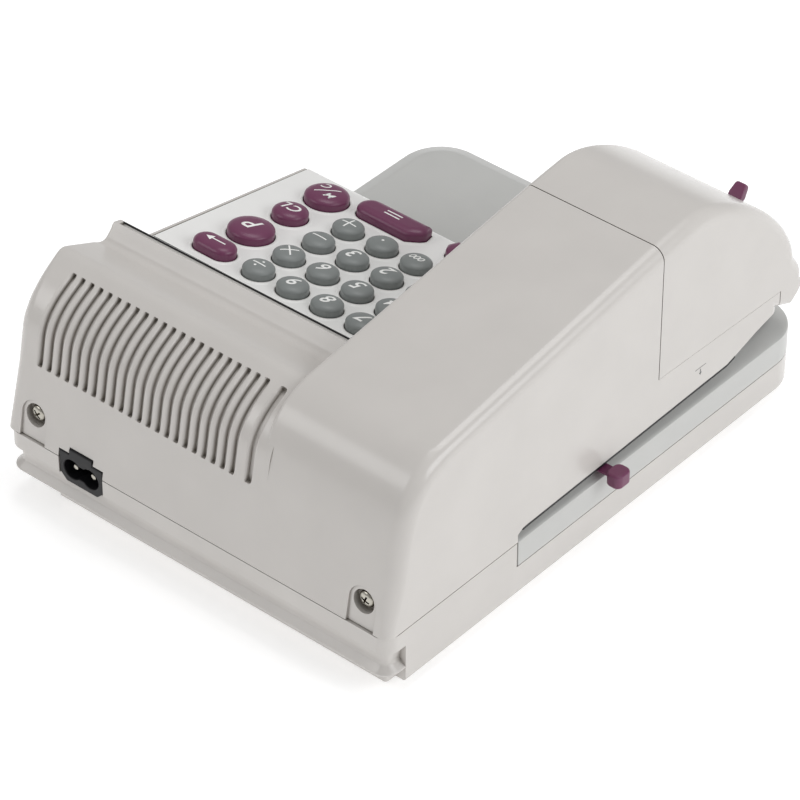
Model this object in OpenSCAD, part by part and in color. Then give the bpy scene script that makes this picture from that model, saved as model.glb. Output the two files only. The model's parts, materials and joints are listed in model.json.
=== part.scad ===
// Electronic cheque writer with a calculator keypad.
// Body frame: X across, Y front to back, Z up, middle of the body at X = Y = 0, desk at Z = 0.
// seat() then moves everything so that the origin is the middle of the whole footprint.

/* [Body] */
// Width of the body
body_w = 180; // [176:1:216]
// Depth of the body, front to back
body_d = 238; // [230:1:286]
// Height of the rubber feet below the tray
foot_h = 5; // [4:0.5:7]
// Height of the tray side above the feet, up to the seam
tray_h = 23.6; // [22:0.2:28]
// Height of the low tray wall under the grey table skirt
low_wall_h = 12.6; // [11:0.2:14]
// Wall of the moulded shells
wall = 2.4; // [2:0.1:2.8]
// Plan radius of the rear corners
rear_r = 6; // [5:0.5:6.5]
// Plan radius of the front corners of tray and table
front_r = 18; // [12:1:24]
// Lean of the back wall, mm back per mm of height
back_lean = 0.195; // [0.12:0.005:0.22]

/* [Cheque table] */
// Height of the table top above the seam
table_lift = 3; // [2.4:0.2:4]
// Width of the bevel round the table top
table_bevel = 6.5; // [4:0.5:8]
// Open depth of the table in front of the keypad
table_open = 75; // [70:1:90]

/* [Printer housing] */
// Width of the printer housing
printer_w = 62; // [60:1:74]
// Height of its top above the seam, taken at the rear face
printer_rear_h = 60; // [54:1:66]
// Rise of its top toward the front, mm per mm
printer_rise = 0.1505; // [0.1:0.005:0.17]
// Length of the lift-off cover, from the body front to its seam
cover_len = 91; // [88:1:100]
// Wall of the lift-off cover
cover_wall = 2.2; // [1.8:0.1:2.6]
// Seam between the cover and the housing
seam_gap = 0.4; // [0.3:0.1:0.8]

/* [Keypad] */
// Tilt of the keypad panel, degrees
panel_tilt = 10.76; // [8:0.25:13]
// Thickness of the keypad panel
panel_t = 2.2; // [1.8:0.1:2.6]
// Key pitch across
pitch_x = 16.35; // [15.5:0.05:17.5]
// Key pitch along the slope
pitch_v = 16.54; // [16:0.02:17.6]
// Diameter of a small key
key_d = 12.1; // [11:0.1:12.8]
// Height of a key above the panel
key_h = 4.6; // [3.5:0.1:6]
// Travel of a key
key_travel = 2; // [1:0.25:2.5]
// Gap all round a key in its hole
key_gap = 0.35; // [0.3:0.05:0.6]

/* [Vents] */
// Number of narrow grooves
vent_n = 22; // [12:1:22]
// Distance from groove to groove
vent_pitch = 4.35; // [3.6:0.05:4.4]
// Width of a groove
vent_w = 2; // [1.4:0.1:2.2]
// Depth of a groove
vent_depth = 1.6; // [0.8:0.1:1.8]

/* [Print mechanism] */
// Radius of the type drum over its type
drum_r = 20; // [17:0.5:22]
// Radius of the feed roller
feed_r = 10; // [8.5:0.5:11]
// Radius of the pressure roller under the drum
press_r = 9; // [7:0.5:9.5]
// Radius of the pinch roller under the feed roller
pinch_r = 6; // [5:0.5:7]
// Radius of the ink roller
ink_r = 8; // [6:0.5:9]
// Radius of the roller shafts
shaft_r = 2; // [1.5:0.25:2.5]
// Running clearance of a shaft in its hole
run_gap = 0.06; // [0.03:0.01:0.1]
// Gear module
gear_m = 1; // [0.9:0.05:1.1]

/* [Paper guide] */
// Reach of the guide grip beyond the body side
grip_out = 10; // [6:0.5:14]
// Place of the guide grip behind the middle of the body
grip_y = 2; // [-10:1:10]

/* [Hidden] */
$fn = 40;
eps = 0.01;
fit = 0.3;              // gap between neighbouring mouldings
xl = -body_w / 2;
xr = body_w / 2;
yf = -body_d / 2;
yb = body_d / 2;
xp = xl + printer_w;    // outer face of the printer housing's inner wall
seam_z = foot_h + tray_h;
table_z = seam_z + table_lift;
low_z = foot_h + low_wall_h;
floor_z = foot_h + wall;
slot_end = yb - 69.3;   // rear end of the cheque slot
cover_y = yf + cover_len;
nose_y = yf + 19;       // slit between the housing side and the cover's nose
bay_y = yf + table_open; // front wall of the keypad bay
table_back = bay_y + 8;
key_col = "#858986";
plum_col = "#6f3c5c";
body_col = "#dedad4";
grey_col = "#c2c5c3";
steel_col = "#b9bbbe";
black_col = "#1b1b1d";

// ---- helpers ----
module seat() {
  translate([grip_out / 2, 0, 0]) children();
}

// Prism along X from a Y-Z outline
module xprism(x0, x1, outline) {
  translate([x0, 0, 0]) rotate([90, 0, 90]) linear_extrude(x1 - x0) polygon(outline);
}

// Prism along Y from an X-Z outline
module yprism(y0, y1, outline) {
  translate([0, y1, 0]) rotate([90, 0, 0]) linear_extrude(y1 - y0) polygon(outline);
}

// Cylinder along X, centred at a Y-Z point
module xrod(x0, x1, r, at) {
  translate([x0, at[0], at[1]]) rotate([0, 90, 0]) cylinder(r = r, h = x1 - x0);
}

// Cylinder along Y
module yrod(y0, y1, r, x, z) {
  translate([x, y1, z]) rotate([90, 0, 0]) cylinder(r = r, h = y1 - y0);
}

// Box from two corners
module block(low, high) {
  translate(low) cube(high - low);
}

// Points of a cubic curve, without its first point
function bez(a, b, c, d, n) = [for (i = [1:n]) let (t = i / n, s = 1 - t)
  s * s * s * a + 3 * s * s * t * b + 3 * s * t * t * c + t * t * t * d];
function bez_at(a, b, c, d, t) = let (s = 1 - t)
  s * s * s * a + 3 * s * s * t * b + 3 * s * t * t * c + t * t * t * d;
function left_of(a, b) = let (d = b - a) [-d[1], d[0]] / norm(d);
function inner(path, t) = let (n = len(path)) [for (i = [0:n - 1]) let (
  n1 = i > 0 ? left_of(path[i - 1], path[i]) : left_of(path[0], path[1]),
  n2 = i < n - 1 ? left_of(path[i], path[i + 1]) : n1,
  m = n1 + n2) path[i] + 2 * t * m / (m * m)];
function back_to_front(p) = [for (i = [len(p) - 1:-1:0]) p[i]];
function ribbon(path, t) = concat(path, back_to_front(inner(path, t)));
function arc(cx, cy, r, a0, a1, n) = [for (i = [0:n]) let (a = a0 + (a1 - a0) * i / n)
  [cx + r * cos(a), cy + r * sin(a)]];
// Rounded rectangle with one radius at the front corners and one at the rear ones
function slab(x0, x1, y0, y1, rf, rb) = concat(
  arc(x0 + rf, y0 + rf, rf, 180, 270, 8), arc(x1 - rf, y0 + rf, rf, 270, 360, 8),
  arc(x1 - rb, y1 - rb, rb, 0, 90, 8), arc(x0 + rb, y1 - rb, rb, 90, 180, 8));

// ---- outlines in Y and Z ----
function wall_y(z) = yb - (z - seam_z) * back_lean;
function top_z(y) = seam_z + printer_rear_h - printer_rise * (y - yb);
lean = [-back_lean, 1];
// Outside of the keypad bay, from the seam at the back to the edge of the display hood
turn_z = seam_z + 41.4;
ridge = [yb - 32.5, seam_z + 61.6];
dip = [yb - 50, seam_z + 54.2];
hood = [yb - 59, seam_z + 59.9];
bay_path = concat([[yb, seam_z]], [[wall_y(turn_z), turn_z]],
  bez([wall_y(turn_z), turn_z], [wall_y(turn_z), turn_z] + 12 * lean, ridge + [9.5, -1.2], ridge, 8),
  bez(ridge, ridge + [-5.5, -0.2], dip + [7, 0.2], dip, 6),
  bez(dip, dip + [-3.5, -0.1], hood + [3, -4], hood, 5));
// Outside of the printer housing, from the seam at the back to the cover's seam
shoulder_z = seam_z + 33.4;
shoulder_y = yb - 35;
printer_path = concat([[yb, seam_z]], [[wall_y(shoulder_z), shoulder_z]],
  bez([wall_y(shoulder_z), shoulder_z], [wall_y(shoulder_z), shoulder_z] + 20 * lean,
    [shoulder_y + 18, top_z(shoulder_y + 18) + 0.4], [shoulder_y, top_z(shoulder_y)], 10),
  [[cover_y, top_z(cover_y)]]);
// Outside of the cover, from its seam over the front to the under side of its nose
crest_y = cover_y - 17;
chin = [yf + 9, seam_z + 33.4];
cover_path = concat([[cover_y - seam_gap, top_z(cover_y - seam_gap)]], [[crest_y, top_z(crest_y) - 0.4]],
  bez([crest_y, top_z(crest_y) - 0.4], [crest_y - 21, top_z(crest_y) + 2.3],
    chin + [2, 22], chin, 14),
  bez(chin, chin + [-1.5, -3], [yf + 4, chin[1] - 5], [yf + 4, chin[1] - 10], 4),
  bez([yf + 4, chin[1] - 10], [yf + 4, chin[1] - 15], [yf + 7, chin[1] - 18], [yf + 11.5, chin[1] - 20.4], 4));
chin_low = [yf + 11.5, chin[1] - 20.4];
// Lower edge of the housing sides: the top of the cheque slot
slot_path = [[nose_y, table_z + 12.8], [nose_y + 26.1, table_z + 5.9], [nose_y + 30.8, table_z + 4.6],
  [slot_end - 5.4, table_z + 2.1], [slot_end - 2.2, table_z + 1.9], [slot_end, seam_z]];
// Line under the cover: the top of the housing's low side strips
strip_rear_z = table_z + 22.2;
strip_front_z = table_z + 20;
// Keypad panel: a point on its surface under the rear key row, and its frame
panel_y0 = hood[0] - 26.34;
panel_z0 = hood[1] - 18.4;
function panel_z(y) = panel_z0 + tan(panel_tilt) * (y - panel_y0);
module on_panel() {
  translate([0, panel_y0, panel_z0]) rotate([panel_tilt, 0, 0]) children();
}
// Keypad cover: from under the hood, down the display face, along the panel and down the front
face_top = hood + [-3.3, -0.9];
face_foot = [panel_y0 + 12.2, panel_z(panel_y0 + 12.2) + 0.3];
pad_r = 3;
pad_path = concat([face_top], [face_foot], [[face_foot[0] - 1.2, panel_z(face_foot[0] - 1.2)]],
  bez([bay_y + pad_r, panel_z(bay_y + pad_r)], [bay_y + 1, panel_z(bay_y + 1)],
    [bay_y, panel_z(bay_y) - 1.4], [bay_y, panel_z(bay_y) - pad_r - 0.6], 5),
  [[bay_y, table_z + fit]]);
pad_x0 = xp + fit;
pad_x1 = xr - wall - fit;

// ---- shells ----
post_x = body_w / 2 - 12.8;
screw_z = seam_z + 10;
screw_r = 1.45;
screw_gap = 0.05;
post_y = yb - 18.7;
post_t = 8;
tray_post_at = [[xl + 14, yf + 20], [xr - 14, yf + 20], [xl + 10, slot_end - 12], [xr - 14, bay_y + 2]];
inlet_x0 = 43;
inlet_x1 = 64;
inlet_z0 = seam_z - 9.7;
inlet_z1 = seam_z + 3.2;
inlet_y0 = yb - 17;
inlet_zc = seam_z - 3.2;
inlet_xc = (inlet_x0 + inlet_x1) / 2;
pin_gap = 8.6;
pin_r = 1.2;
pin_tip = yb - 1.9;
// Outline of the inlet body: chamfered lower corners and a raised key on top, grown all round
function inlet_outline(grow) = let (x0 = inlet_x0 - grow, x1 = inlet_x1 + grow, z0 = inlet_z0 - grow,
  z1 = inlet_z1 + grow, k = 5.5 + grow) [[x0 + 3, z0], [x1 - 3, z0], [x1, z0 + 3], [x1, z1],
  [inlet_xc + k, z1], [inlet_xc + k, z1 + 2.4], [inlet_xc - k, z1 + 2.4], [inlet_xc - k, z1],
  [x0, z1], [x0, z0 + 3]];
module inlet_hole() {
  yprism(inlet_y0, yb + 5, inlet_outline(fit));
}

module base_tray() {
  color(body_col) seat() {
    difference() {
      union() {
        difference() {
          translate([0, 0, foot_h]) linear_extrude(tray_h) polygon(slab(xl, xr, yf, yb, front_r, rear_r));
          translate([0, 0, floor_z]) linear_extrude(tray_h)
            polygon(slab(xl + 2 * wall, xr - 2 * wall, yf + 2 * wall, yb - 2.6 * wall, front_r - 2 * wall, 1));
          // low walls under the table skirt
          block([xl - 1, yf - 1, low_z], [xr + 1, table_back + fit, seam_z + 1]);
          block([xl - 1, yf - 1, low_z], [xp + 6, slot_end + fit, seam_z + 1]);
          // stepped back: a shallow band and a deeper strip along the foot
          block([xl - 1, yb - 2, foot_h + 6.7], [xr + 1, yb + 1, foot_h + 16.4]);
          block([xl - 1, yb - 5, foot_h - 1], [xr - 21, yb + 1, foot_h + 6.7]);
        }
        // posts for the rear screws, for the table and for the main board
        for (side = [-1, 1])
          block([side * post_x - 6, post_y, floor_z - eps], [side * post_x + 6, post_y + post_t, screw_z + 6]);
        for (p = tray_post_at)
          translate([p[0], p[1], floor_z - eps]) cylinder(r = 4, h = seam_z - floor_z + eps);
        for (p = board_post_at)
          translate([p[0], p[1], floor_z - eps]) cylinder(r = 3, h = board_z - floor_z + eps);
      }
      for (side = [-1, 1])
        yrod(post_y - 1, post_y + post_t + 1, screw_r + screw_gap, side * post_x, screw_z);
      for (p = tray_post_at) {
        translate([p[0], p[1], foot_h - 1]) cylinder(r = screw_r + screw_gap, h = tray_h + 2);
        translate([p[0], p[1], foot_h - 1]) cylinder(r = 3.3, h = 1 + 1.5);
      }
      inlet_hole();
    }
  }
}

module table_plate(x1, y1, rf) {
  hull() {
    translate([0, 0, seam_z]) linear_extrude(eps) polygon(slab(xl, x1, yf, y1, rf, 1));
    translate([0, 0, table_z - eps]) linear_extrude(eps)
      polygon(slab(xl + table_bevel, x1 - table_bevel, yf + table_bevel, y1 - 0.5, rf - table_bevel + 2, 1));
  }
}

module cheque_table() {
  color(grey_col) seat() difference() {
    union() {
      table_plate(xr, table_back, front_r);
      table_plate(xp + 6, slot_end - 2.6, front_r);
      difference() {
        translate([0, 0, low_z + fit]) linear_extrude(seam_z - low_z - fit + eps)
          polygon(slab(xl, xr, yf, yb, front_r, rear_r));
        translate([0, 0, low_z]) linear_extrude(tray_h)
          polygon(slab(xl + wall, xr - wall, yf + wall, yb + 9, front_r - wall, 1));
        block([xp, table_back, low_z], [xr + 1, yb + 1, seam_z + 1]);
        block([xl - 1, slot_end - fit, low_z], [xr + 1, yb + 1, seam_z + 1]);
      }
    }
    // windows for the pressure roller and the pinch roller
    block([drum_x0 - 1, print_y - press_win, seam_z - 1], [drum_x1 + 1, print_y + press_win, table_z + 1]);
    block([feed_x0 - 1, feed_at[0] - pinch_win, seam_z - 1], [feed_x1 + 1, feed_at[0] + pinch_win, table_z + 1]);
    // screw holes from below
    for (p = tray_post_at)
      translate([p[0], p[1], seam_z - 1]) cylinder(r = screw_r + screw_gap, h = 2.6);
  }
}

module vent_cut(x, w) {
  intersection() {
    xprism(x - w / 2, x + w / 2, ribbon(bay_path, vent_depth));
    block([x - w, yb - 26, seam_z + 30], [x + w, yb + 5, seam_z + 90]);
  }
}

bay_side = concat(bay_path, [face_top, face_foot], [[bay_y, panel_z(bay_y)], [bay_y, table_z + fit],
  [table_back + fit, table_z + fit], [table_back + fit, seam_z]]);
printer_side = concat(printer_path, [[cover_y, strip_rear_z], [nose_y, strip_front_z]], slot_path);

module top_housing() {
  color(body_col) seat() difference() {
    intersection() {
      union() {
        xprism(xp - wall, xr, ribbon(bay_path, wall));
        xprism(xr - wall, xr, bay_side);
        xprism(xl, xp, ribbon(printer_path, wall));
        xprism(xl, xl + wall, printer_side);
        xprism(xp - wall, xp, printer_side);
        for (side = [-1, 1]) yrod(post_y + post_t + fit, wall_y(screw_z) - 0.5, 6, side * post_x, screw_z);
      }
      translate([0, 0, seam_z]) linear_extrude(120) polygon(slab(xl, xr, yf, yb, 1, rear_r));
    }
    for (i = [0:vent_n - 1]) vent_cut(xr - 12.8 - i * vent_pitch, vent_w);
    vent_cut(xp + 6.5, 4);
    for (side = [-1, 1]) {
      yrod(post_y, yb + 1, screw_r + screw_gap, side * post_x, screw_z);
      yrod(wall_y(screw_z) - 5, yb + 1, 4.75, side * post_x, screw_z);
    }
    inlet_hole();
  }
}

// where the latch passes the cover: on the curve from the crest to the chin
latch_t = 0.68;
latch_at = bez_at([crest_y, top_z(crest_y) - 0.4], [crest_y - 21, top_z(crest_y) + 2.3],
  chin + [2, 22], chin, latch_t) + [1.291, 1.356];
latch_x = xl + 20;
latch_tilt = 45;
module on_latch() {
  translate([latch_x, latch_at[0], latch_at[1]]) rotate([latch_tilt, 0, 0]) children();
}

module print_cover() {
  low = [nose_y - seam_gap, strip_front_z + seam_gap];
  side = concat(cover_path, [[nose_y - seam_gap, chin_low[1] + 1.6], low,
    [cover_y - seam_gap, strip_rear_z + seam_gap]]);
  color(body_col) seat() difference() {
    union() {
      intersection() {
        union() {
          xprism(xl, xp, ribbon(cover_path, cover_wall));
          xprism(xl, xl + cover_wall, side);
          xprism(xp - cover_wall, xp, side);
        }
        linear_extrude(160) polygon(slab(xl, xp, yf + 4, cover_y, 5.5, 1));
      }
      // rails that hold the latch under the skin
      on_latch() for (s = [-1, 1]) block([-8, s * 6.4 - 1, -6.4], [16, s * 6.4 + 1, -0.5]);
    }
    // slot for the latch
    on_latch() block([-3.6, -2.2, -8], [12.6, 2.2, 8]);
  }
}

module cover_latch() {
  color(plum_col) seat() on_latch() {
    block([-6, -5, -5.6], [6, 5, -3.6]);
    block([-3, -1.7, -3.7], [3, 1.7, 6.2]);
  }
}

// ---- keypad and display ----
pad_mid = (pad_x0 + pad_x1) / 2;
col_x = [for (i = [0:3]) pad_mid - 34.3 + i * pitch_x];
col_plum = pad_mid + 35.9;
row_v = [for (i = [0:3]) -i * pitch_v];
row_front = row_v[3] - 17.7;
module stadium(x0, x1, r, h) {
  linear_extrude(h) polygon(concat(arc(x1 - r, 0, r, -90, 90, 10), arc(x0 + r, 0, r, 90, 270, 10)));
}
// Kinds of key: [centre x, centre v, half length, radius]
keys = concat(
  [for (r = [0:3]) for (c = [0:3]) [col_x[c], row_v[r], key_d / 2, key_d / 2]],
  [[col_plum, row_v[0], 9, 5.2], [col_plum, row_v[1] - 3.1, 8.9, 8.9],
   [col_plum - 0.2, row_v[2] - 8, 6.9, 6.9], [col_plum, row_v[3] - 12.4, 8.6, 8.6],
   [col_x[0] + 3.4, row_front, 13.5, 5.6], [pad_mid + 8.3, row_front, 15.8, 5.6]]);
flange = 1.1;
flange_top = -panel_t - 0.6;
stem_low = -7;
mat_top = stem_low - key_travel - 0.4;
mat_t = 1.2;
board_t = 1.6;
module key_shape(k, grow, z0, z1) {
  translate([k[0], k[1], z0]) {
    if (k[2] == k[3]) cylinder(r = k[3] + grow, h = z1 - z0);
    else stadium(-k[2] - grow, k[2] + grow, k[3] + grow, z1 - z0);
  }
}
module key(i, col) {
  k = keys[i];
  color(col) seat() on_panel() {
    key_shape(k, 0, flange_top - flange, key_h - 1);
    key_shape(k, -0.9, key_h - 1.1, key_h - 0.4);
    key_shape(k, -2.4, key_h - 0.5, key_h);
    key_shape(k, flange, flange_top - flange, flange_top);
    translate([k[0], k[1], stem_low]) cylinder(r = 2.5, h = flange_top - flange - stem_low + eps);
  }
}

window_in = 11.5;  // from the side of the keypad cover to the window
window_x0 = pad_x0 + window_in;
window_w = pad_x1 - pad_x0 - 2 * window_in;
face_len = norm(face_top - face_foot);
face_tilt = atan2(face_top[1] - face_foot[1], face_top[0] - face_foot[0]);
module on_face() {
  translate([0, face_foot[0], face_foot[1]]) rotate([face_tilt, 0, 0]) children();
}
pcb_v0 = row_front - 8.6;
pcb_v1 = 9.5;
pad_boss = [for (x = [pad_x0 + 5, pad_x1 - 5]) for (v = [pcb_v0 + 3, pcb_v1 - 3]) [x, v]];

module keypad_cover() {
  color("#ecebe8") seat() difference() {
    union() {
      xprism(pad_x0, pad_x1, ribbon(pad_path, panel_t));
      on_panel() for (b = pad_boss)
        translate([b[0], b[1], mat_top - mat_t]) cylinder(r = 2.5, h = mat_t - mat_top - panel_t + 0.5);
      // seats that carry the display module behind the window
      on_face() for (x = [window_x0 - 6, window_x0 + window_w + 2])
        block([x, 2.5, -9], [x + 4, face_len - 3.5, -panel_t + 0.5]);
    }
    on_panel() for (k = keys) key_shape(k, key_gap, -panel_t - 1.5, 5);
    on_face() block([window_x0, 3.5, -4], [window_x0 + window_w, face_len - 4.5, 3]);
  }
}

module display_window() {
  color("#2b3a33") seat() on_face()
    block([window_x0 + 0.1, 3.6, -1.6], [window_x0 + window_w - 0.1, face_len - 4.6, -0.2]);
}

module display_module() {
  color("#3c4a44") seat() on_face() {
    block([window_x0 - 1.8, 2.8, -7], [window_x0 + window_w + 1.8, face_len - 3.8, -3.2]);
    block([window_x0 - 6, 2.5, -10.6], [window_x0 + window_w + 6, face_len - 3.5, -9]);
    for (x = [window_x0 + 8, window_x0 + window_w - 8]) block([x - 2, 6, -9.1], [x + 2, 10, -6.9]);
  }
}

module key_mat() {
  color("#d9d6cc") seat() on_panel() difference() {
    union() {
      block([pad_x0 + 9.5, pcb_v0 + 0.5, mat_top - mat_t], [pad_x1 - 9.5, pcb_v1 - 0.5, mat_top]);
      for (k = keys) translate([k[0], k[1], mat_top - eps]) cylinder(r = 4.4, h = key_travel - 0.2);
    }
    for (k = keys) translate([k[0], k[1], mat_top - 0.5]) cylinder(r = 3, h = 4);
  }
}

module key_board() {
  color("#3b6b48") seat() on_panel()
    block([pad_x0 + 1, pcb_v0, mat_top - mat_t - board_t], [pad_x1 - 1, pcb_v1, mat_top - mat_t]);
}

// ---- electrical parts in the tray ----
board_z = floor_z + 5;
board_x0 = xp + 12;
board_x1 = xr - 12;
board_y0 = bay_y + 12;
board_y1 = yb - 75;
board_post_at = [for (x = [board_x0 + 5, board_x1 - 5]) for (y = [board_y0 + 5, board_y1 - 5]) [x, y]];
module main_board() {
  color("#2f6a45") seat() {
    block([board_x0, board_y0, board_z], [board_x1, board_y1, board_z + board_t]);
    chip_z = board_z + board_t - eps;
    block([board_x0 + 20, board_y0 + 20, chip_z], [board_x0 + 40, board_y0 + 34, chip_z + 3]);
    block([board_x0 + 52, board_y0 + 16, chip_z], [board_x0 + 62, board_y0 + 46, chip_z + 3]);
    for (i = [0:2])
      translate([board_x0 + 24 + 14 * i, board_y1 - 14, chip_z]) cylinder(r = 5, h = 14);
    block([board_x0 + 76, board_y0 + 22, chip_z], [board_x0 + 79, board_y0 + 42, chip_z + 18]);
  }
}

tr_x0 = 8;
tr_y0 = yb - 69;
module transformer() {
  color("#55585c") seat() {
    block([tr_x0, tr_y0, floor_z], [tr_x0 + 48, tr_y0 + 40, floor_z + 1.6]);
    block([tr_x0 + 4, tr_y0 + 10, floor_z + 1.6 - eps], [tr_x0 + 44, tr_y0 + 28, floor_z + 34]);
    block([tr_x0 + 11, tr_y0 + 3, floor_z + 6], [tr_x0 + 37, tr_y0 + 35, floor_z + 28]);
  }
}

module power_inlet() {
  face_y = yb - 0.4;
  color(black_col) seat() difference() {
    union() {
      yprism(inlet_y0 + 3, face_y, inlet_outline(0));
      block([inlet_x0 + 1, inlet_y0 - 3, inlet_z0 + 1], [inlet_x1 - 1, inlet_y0 + 3 + eps, inlet_z1 - 3]);
    }
    for (s = [-1, 1]) yrod(face_y - 12, face_y + 1, 4.1, inlet_xc + s * pin_gap / 2, inlet_zc);
    block([inlet_xc - pin_gap / 2, face_y - 12, inlet_zc - 3.3], [inlet_xc + pin_gap / 2, face_y + 1, inlet_zc + 3.3]);
    for (s = [-1, 1]) yrod(inlet_y0 - 4, face_y, pin_r + 0.02, inlet_xc + s * pin_gap / 2, inlet_zc);
  }
}

module inlet_pins() {
  color(steel_col) seat()
    for (s = [-1, 1]) yrod(inlet_y0 - 8, pin_tip, pin_r, inlet_xc + s * pin_gap / 2, inlet_zc);
}

module rear_screws() {
  color(steel_col) seat() for (side = [-1, 1]) {
    head_y = wall_y(screw_z) - 5;
    yrod(post_y + 0.5, head_y, screw_r, side * post_x, screw_z);
    difference() {
      yrod(head_y, head_y + 1.8, 3, side * post_x, screw_z);
      block([side * post_x - 1.8, head_y + 0.8, screw_z - 0.4], [side * post_x + 1.8, head_y + 3, screw_z + 0.4]);
      block([side * post_x - 0.4, head_y + 0.8, screw_z - 1.8], [side * post_x + 0.4, head_y + 3, screw_z + 1.8]);
    }
  }
}

module tray_screws() {
  color(steel_col) seat() for (p = tray_post_at) {
    translate([p[0], p[1], foot_h + 1.4]) cylinder(r = screw_r, h = tray_h - 0.2);
    translate([p[0], p[1], foot_h + 0.2]) cylinder(r = 3, h = 1.3);
  }
}

module feet() {
  color("#bdbab3") seat() for (x = [xl + 11, xr - 11]) for (y = [yf + 33, yb - 21])
    translate([x, y, 0]) rotate_extrude() polygon([[0, 0], [5.4, 0], [6, 0.8], [6.4, foot_h], [0, foot_h]]);
}

// ---- print mechanism ----
plate_t = 1.5;
left_x = xl + 15;                // frame plate on the slot side
right_x = xp - 13;               // frame plate on the gear side
drum_x0 = left_x + plate_t + 10;
drum_x1 = drum_x0 + 12;
feed_x0 = left_x + plate_t + 2;
feed_x1 = right_x - 2;
paper = 0.5;                     // room for paper over the table
print_y = yf + 47;
drum_at = [print_y, table_z + paper + drum_r];
press_at = [print_y, table_z + 0.2 - press_r];
feed_at = [print_y + 34, table_z + paper + feed_r];
pinch_at = [feed_at[0], table_z + 0.2 - pinch_r];
ink_at = drum_at + (drum_r + ink_r + 0.3) * [sin(20), cos(20)];
press_win = sqrt(pow(press_r, 2) - pow(press_r - 0.2 - table_lift, 2)) + 1;
pinch_win = sqrt(pow(pinch_r, 2) - pow(pinch_r - 0.2 - table_lift, 2)) + 1;
drum_teeth = 32;
idler_teeth = 20;
feed_teeth = 16;
motor_teeth = 12;
function pitch_r(teeth) = gear_m * teeth / 2;
// Centre of the idler: in mesh with the drum gear and with the feed gear, on their upper side
to_feed = feed_at - drum_at;
span = norm(to_feed);
ra = pitch_r(drum_teeth) + pitch_r(idler_teeth);
rb = pitch_r(feed_teeth) + pitch_r(idler_teeth);
along = (ra * ra - rb * rb + span * span) / (2 * span);
idler_at = drum_at + along * to_feed / span + sqrt(ra * ra - along * along) * [-to_feed[1], to_feed[0]] / span;
motor_angle = 40;
motor_at = idler_at + (pitch_r(idler_teeth) + pitch_r(motor_teeth)) * [cos(motor_angle), sin(motor_angle)];
motor_r = 12;
gear_x0 = right_x + plate_t + 1;
gear_w = 5;
function heading(a, b) = atan2(b[1] - a[1], b[0] - a[0]);
// Angle of the driven gear's teeth that meets the driving gear's teeth
function meshed(psi, phase, driver, driven) = psi + 180 + (psi - phase) * driver / driven + 180 / driven;
drum_phase = heading(drum_at, idler_at);
idler_phase = meshed(drum_phase, drum_phase, drum_teeth, idler_teeth);
feed_phase = meshed(heading(idler_at, feed_at), idler_phase, idler_teeth, feed_teeth);
motor_phase = meshed(motor_angle, idler_phase, idler_teeth, motor_teeth);

module gear_2d(teeth, phase) {
  r = pitch_r(teeth);
  half = 360 / teeth;
  rotate(phase) polygon([for (i = [0:teeth - 1]) each [
    (r - 1.2 * gear_m) * [cos((i - 0.27) * half), sin((i - 0.27) * half)],
    (r + 0.75 * gear_m) * [cos((i - 0.11) * half), sin((i - 0.11) * half)],
    (r + 0.75 * gear_m) * [cos((i + 0.11) * half), sin((i + 0.11) * half)],
    (r - 1.2 * gear_m) * [cos((i + 0.27) * half), sin((i + 0.27) * half)]]]);
}
module gear(teeth, phase, at, bore) {
  translate([gear_x0, at[0], at[1]]) rotate([90, 0, 90]) linear_extrude(gear_w) difference() {
    gear_2d(teeth, phase);
    circle(r = bore);
  }
}

plate_path = [[yb - 23, floor_z], [yb - 23, seam_z + 50], [yb - 60, seam_z + 54], [print_y + 12, seam_z + 61],
  [print_y - 12, seam_z + 52], [print_y - 20, seam_z + 38], [print_y - 12, table_z + 9],
  [print_y + 14, table_z + 5.6], [slot_end + 3, table_z + 5.6], [slot_end + 7, table_z], [slot_end + 7, floor_z]];
rod_at = [[yb - 34, seam_z + 40], [yb - 34, seam_z - 8], [yb - 80, seam_z + 44], [print_y - 14, seam_z + 44]];
rail_x = xl + 8;
rail_z = table_z + 10;
rail_r = 2;
module frame_plate(x) {
  difference() {
    xprism(x, x + plate_t, plate_path);
    for (at = [drum_at, feed_at, ink_at])
      xrod(x - 1, x + plate_t + 1, shaft_r + run_gap, at);
  }
}
module frame_plate_left() {
  color(steel_col) seat() {
    frame_plate(left_x);
    // two ears that hold the guide rail
    difference() {
      for (y = [rail_y0, rail_y1 - 2]) block([rail_x - 4, y, rail_z - 4], [left_x + eps, y + 2, rail_z + 4]);
      yrod(rail_y0 - 1, rail_y1 + 1, rail_r + run_gap, rail_x, rail_z);
    }
  }
}
module frame_plate_right() {
  color(steel_col) seat() difference() {
    frame_plate(right_x);
    xrod(right_x - 1, right_x + plate_t + 1, 3.5, motor_at);
    xrod(right_x - 1, right_x + plate_t + 1, shaft_r, idler_at);
  }
}
module frame_rods() {
  color("#a5a8ab") seat() for (at = rod_at) xrod(left_x + plate_t, right_x, 2.5, at);
}
module idler_pin() {
  color("#a5a8ab") seat() xrod(right_x, gear_x0 + gear_w + 0.6, shaft_r, idler_at);
}

guide_t = 1.2;
module upper_guide() {
  color("#3a3b3d") seat() difference() {
    xprism(left_x + plate_t, right_x, ribbon([[slot_end - 1, table_z + 5.4 + guide_t],
      [print_y + 4, table_z + 5.4 + guide_t], [nose_y + 3, table_z + 13.4 + guide_t]], guide_t));
    block([drum_x0 - 1, drum_at[0] - drum_r - 1, table_z], [drum_x1 + 1, drum_at[0] + 16, table_z + 18]);
    block([feed_x0 - 1, feed_at[0] - 11, table_z], [feed_x1 + 1, feed_at[0] + 11, table_z + 12]);
  }
}

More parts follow.
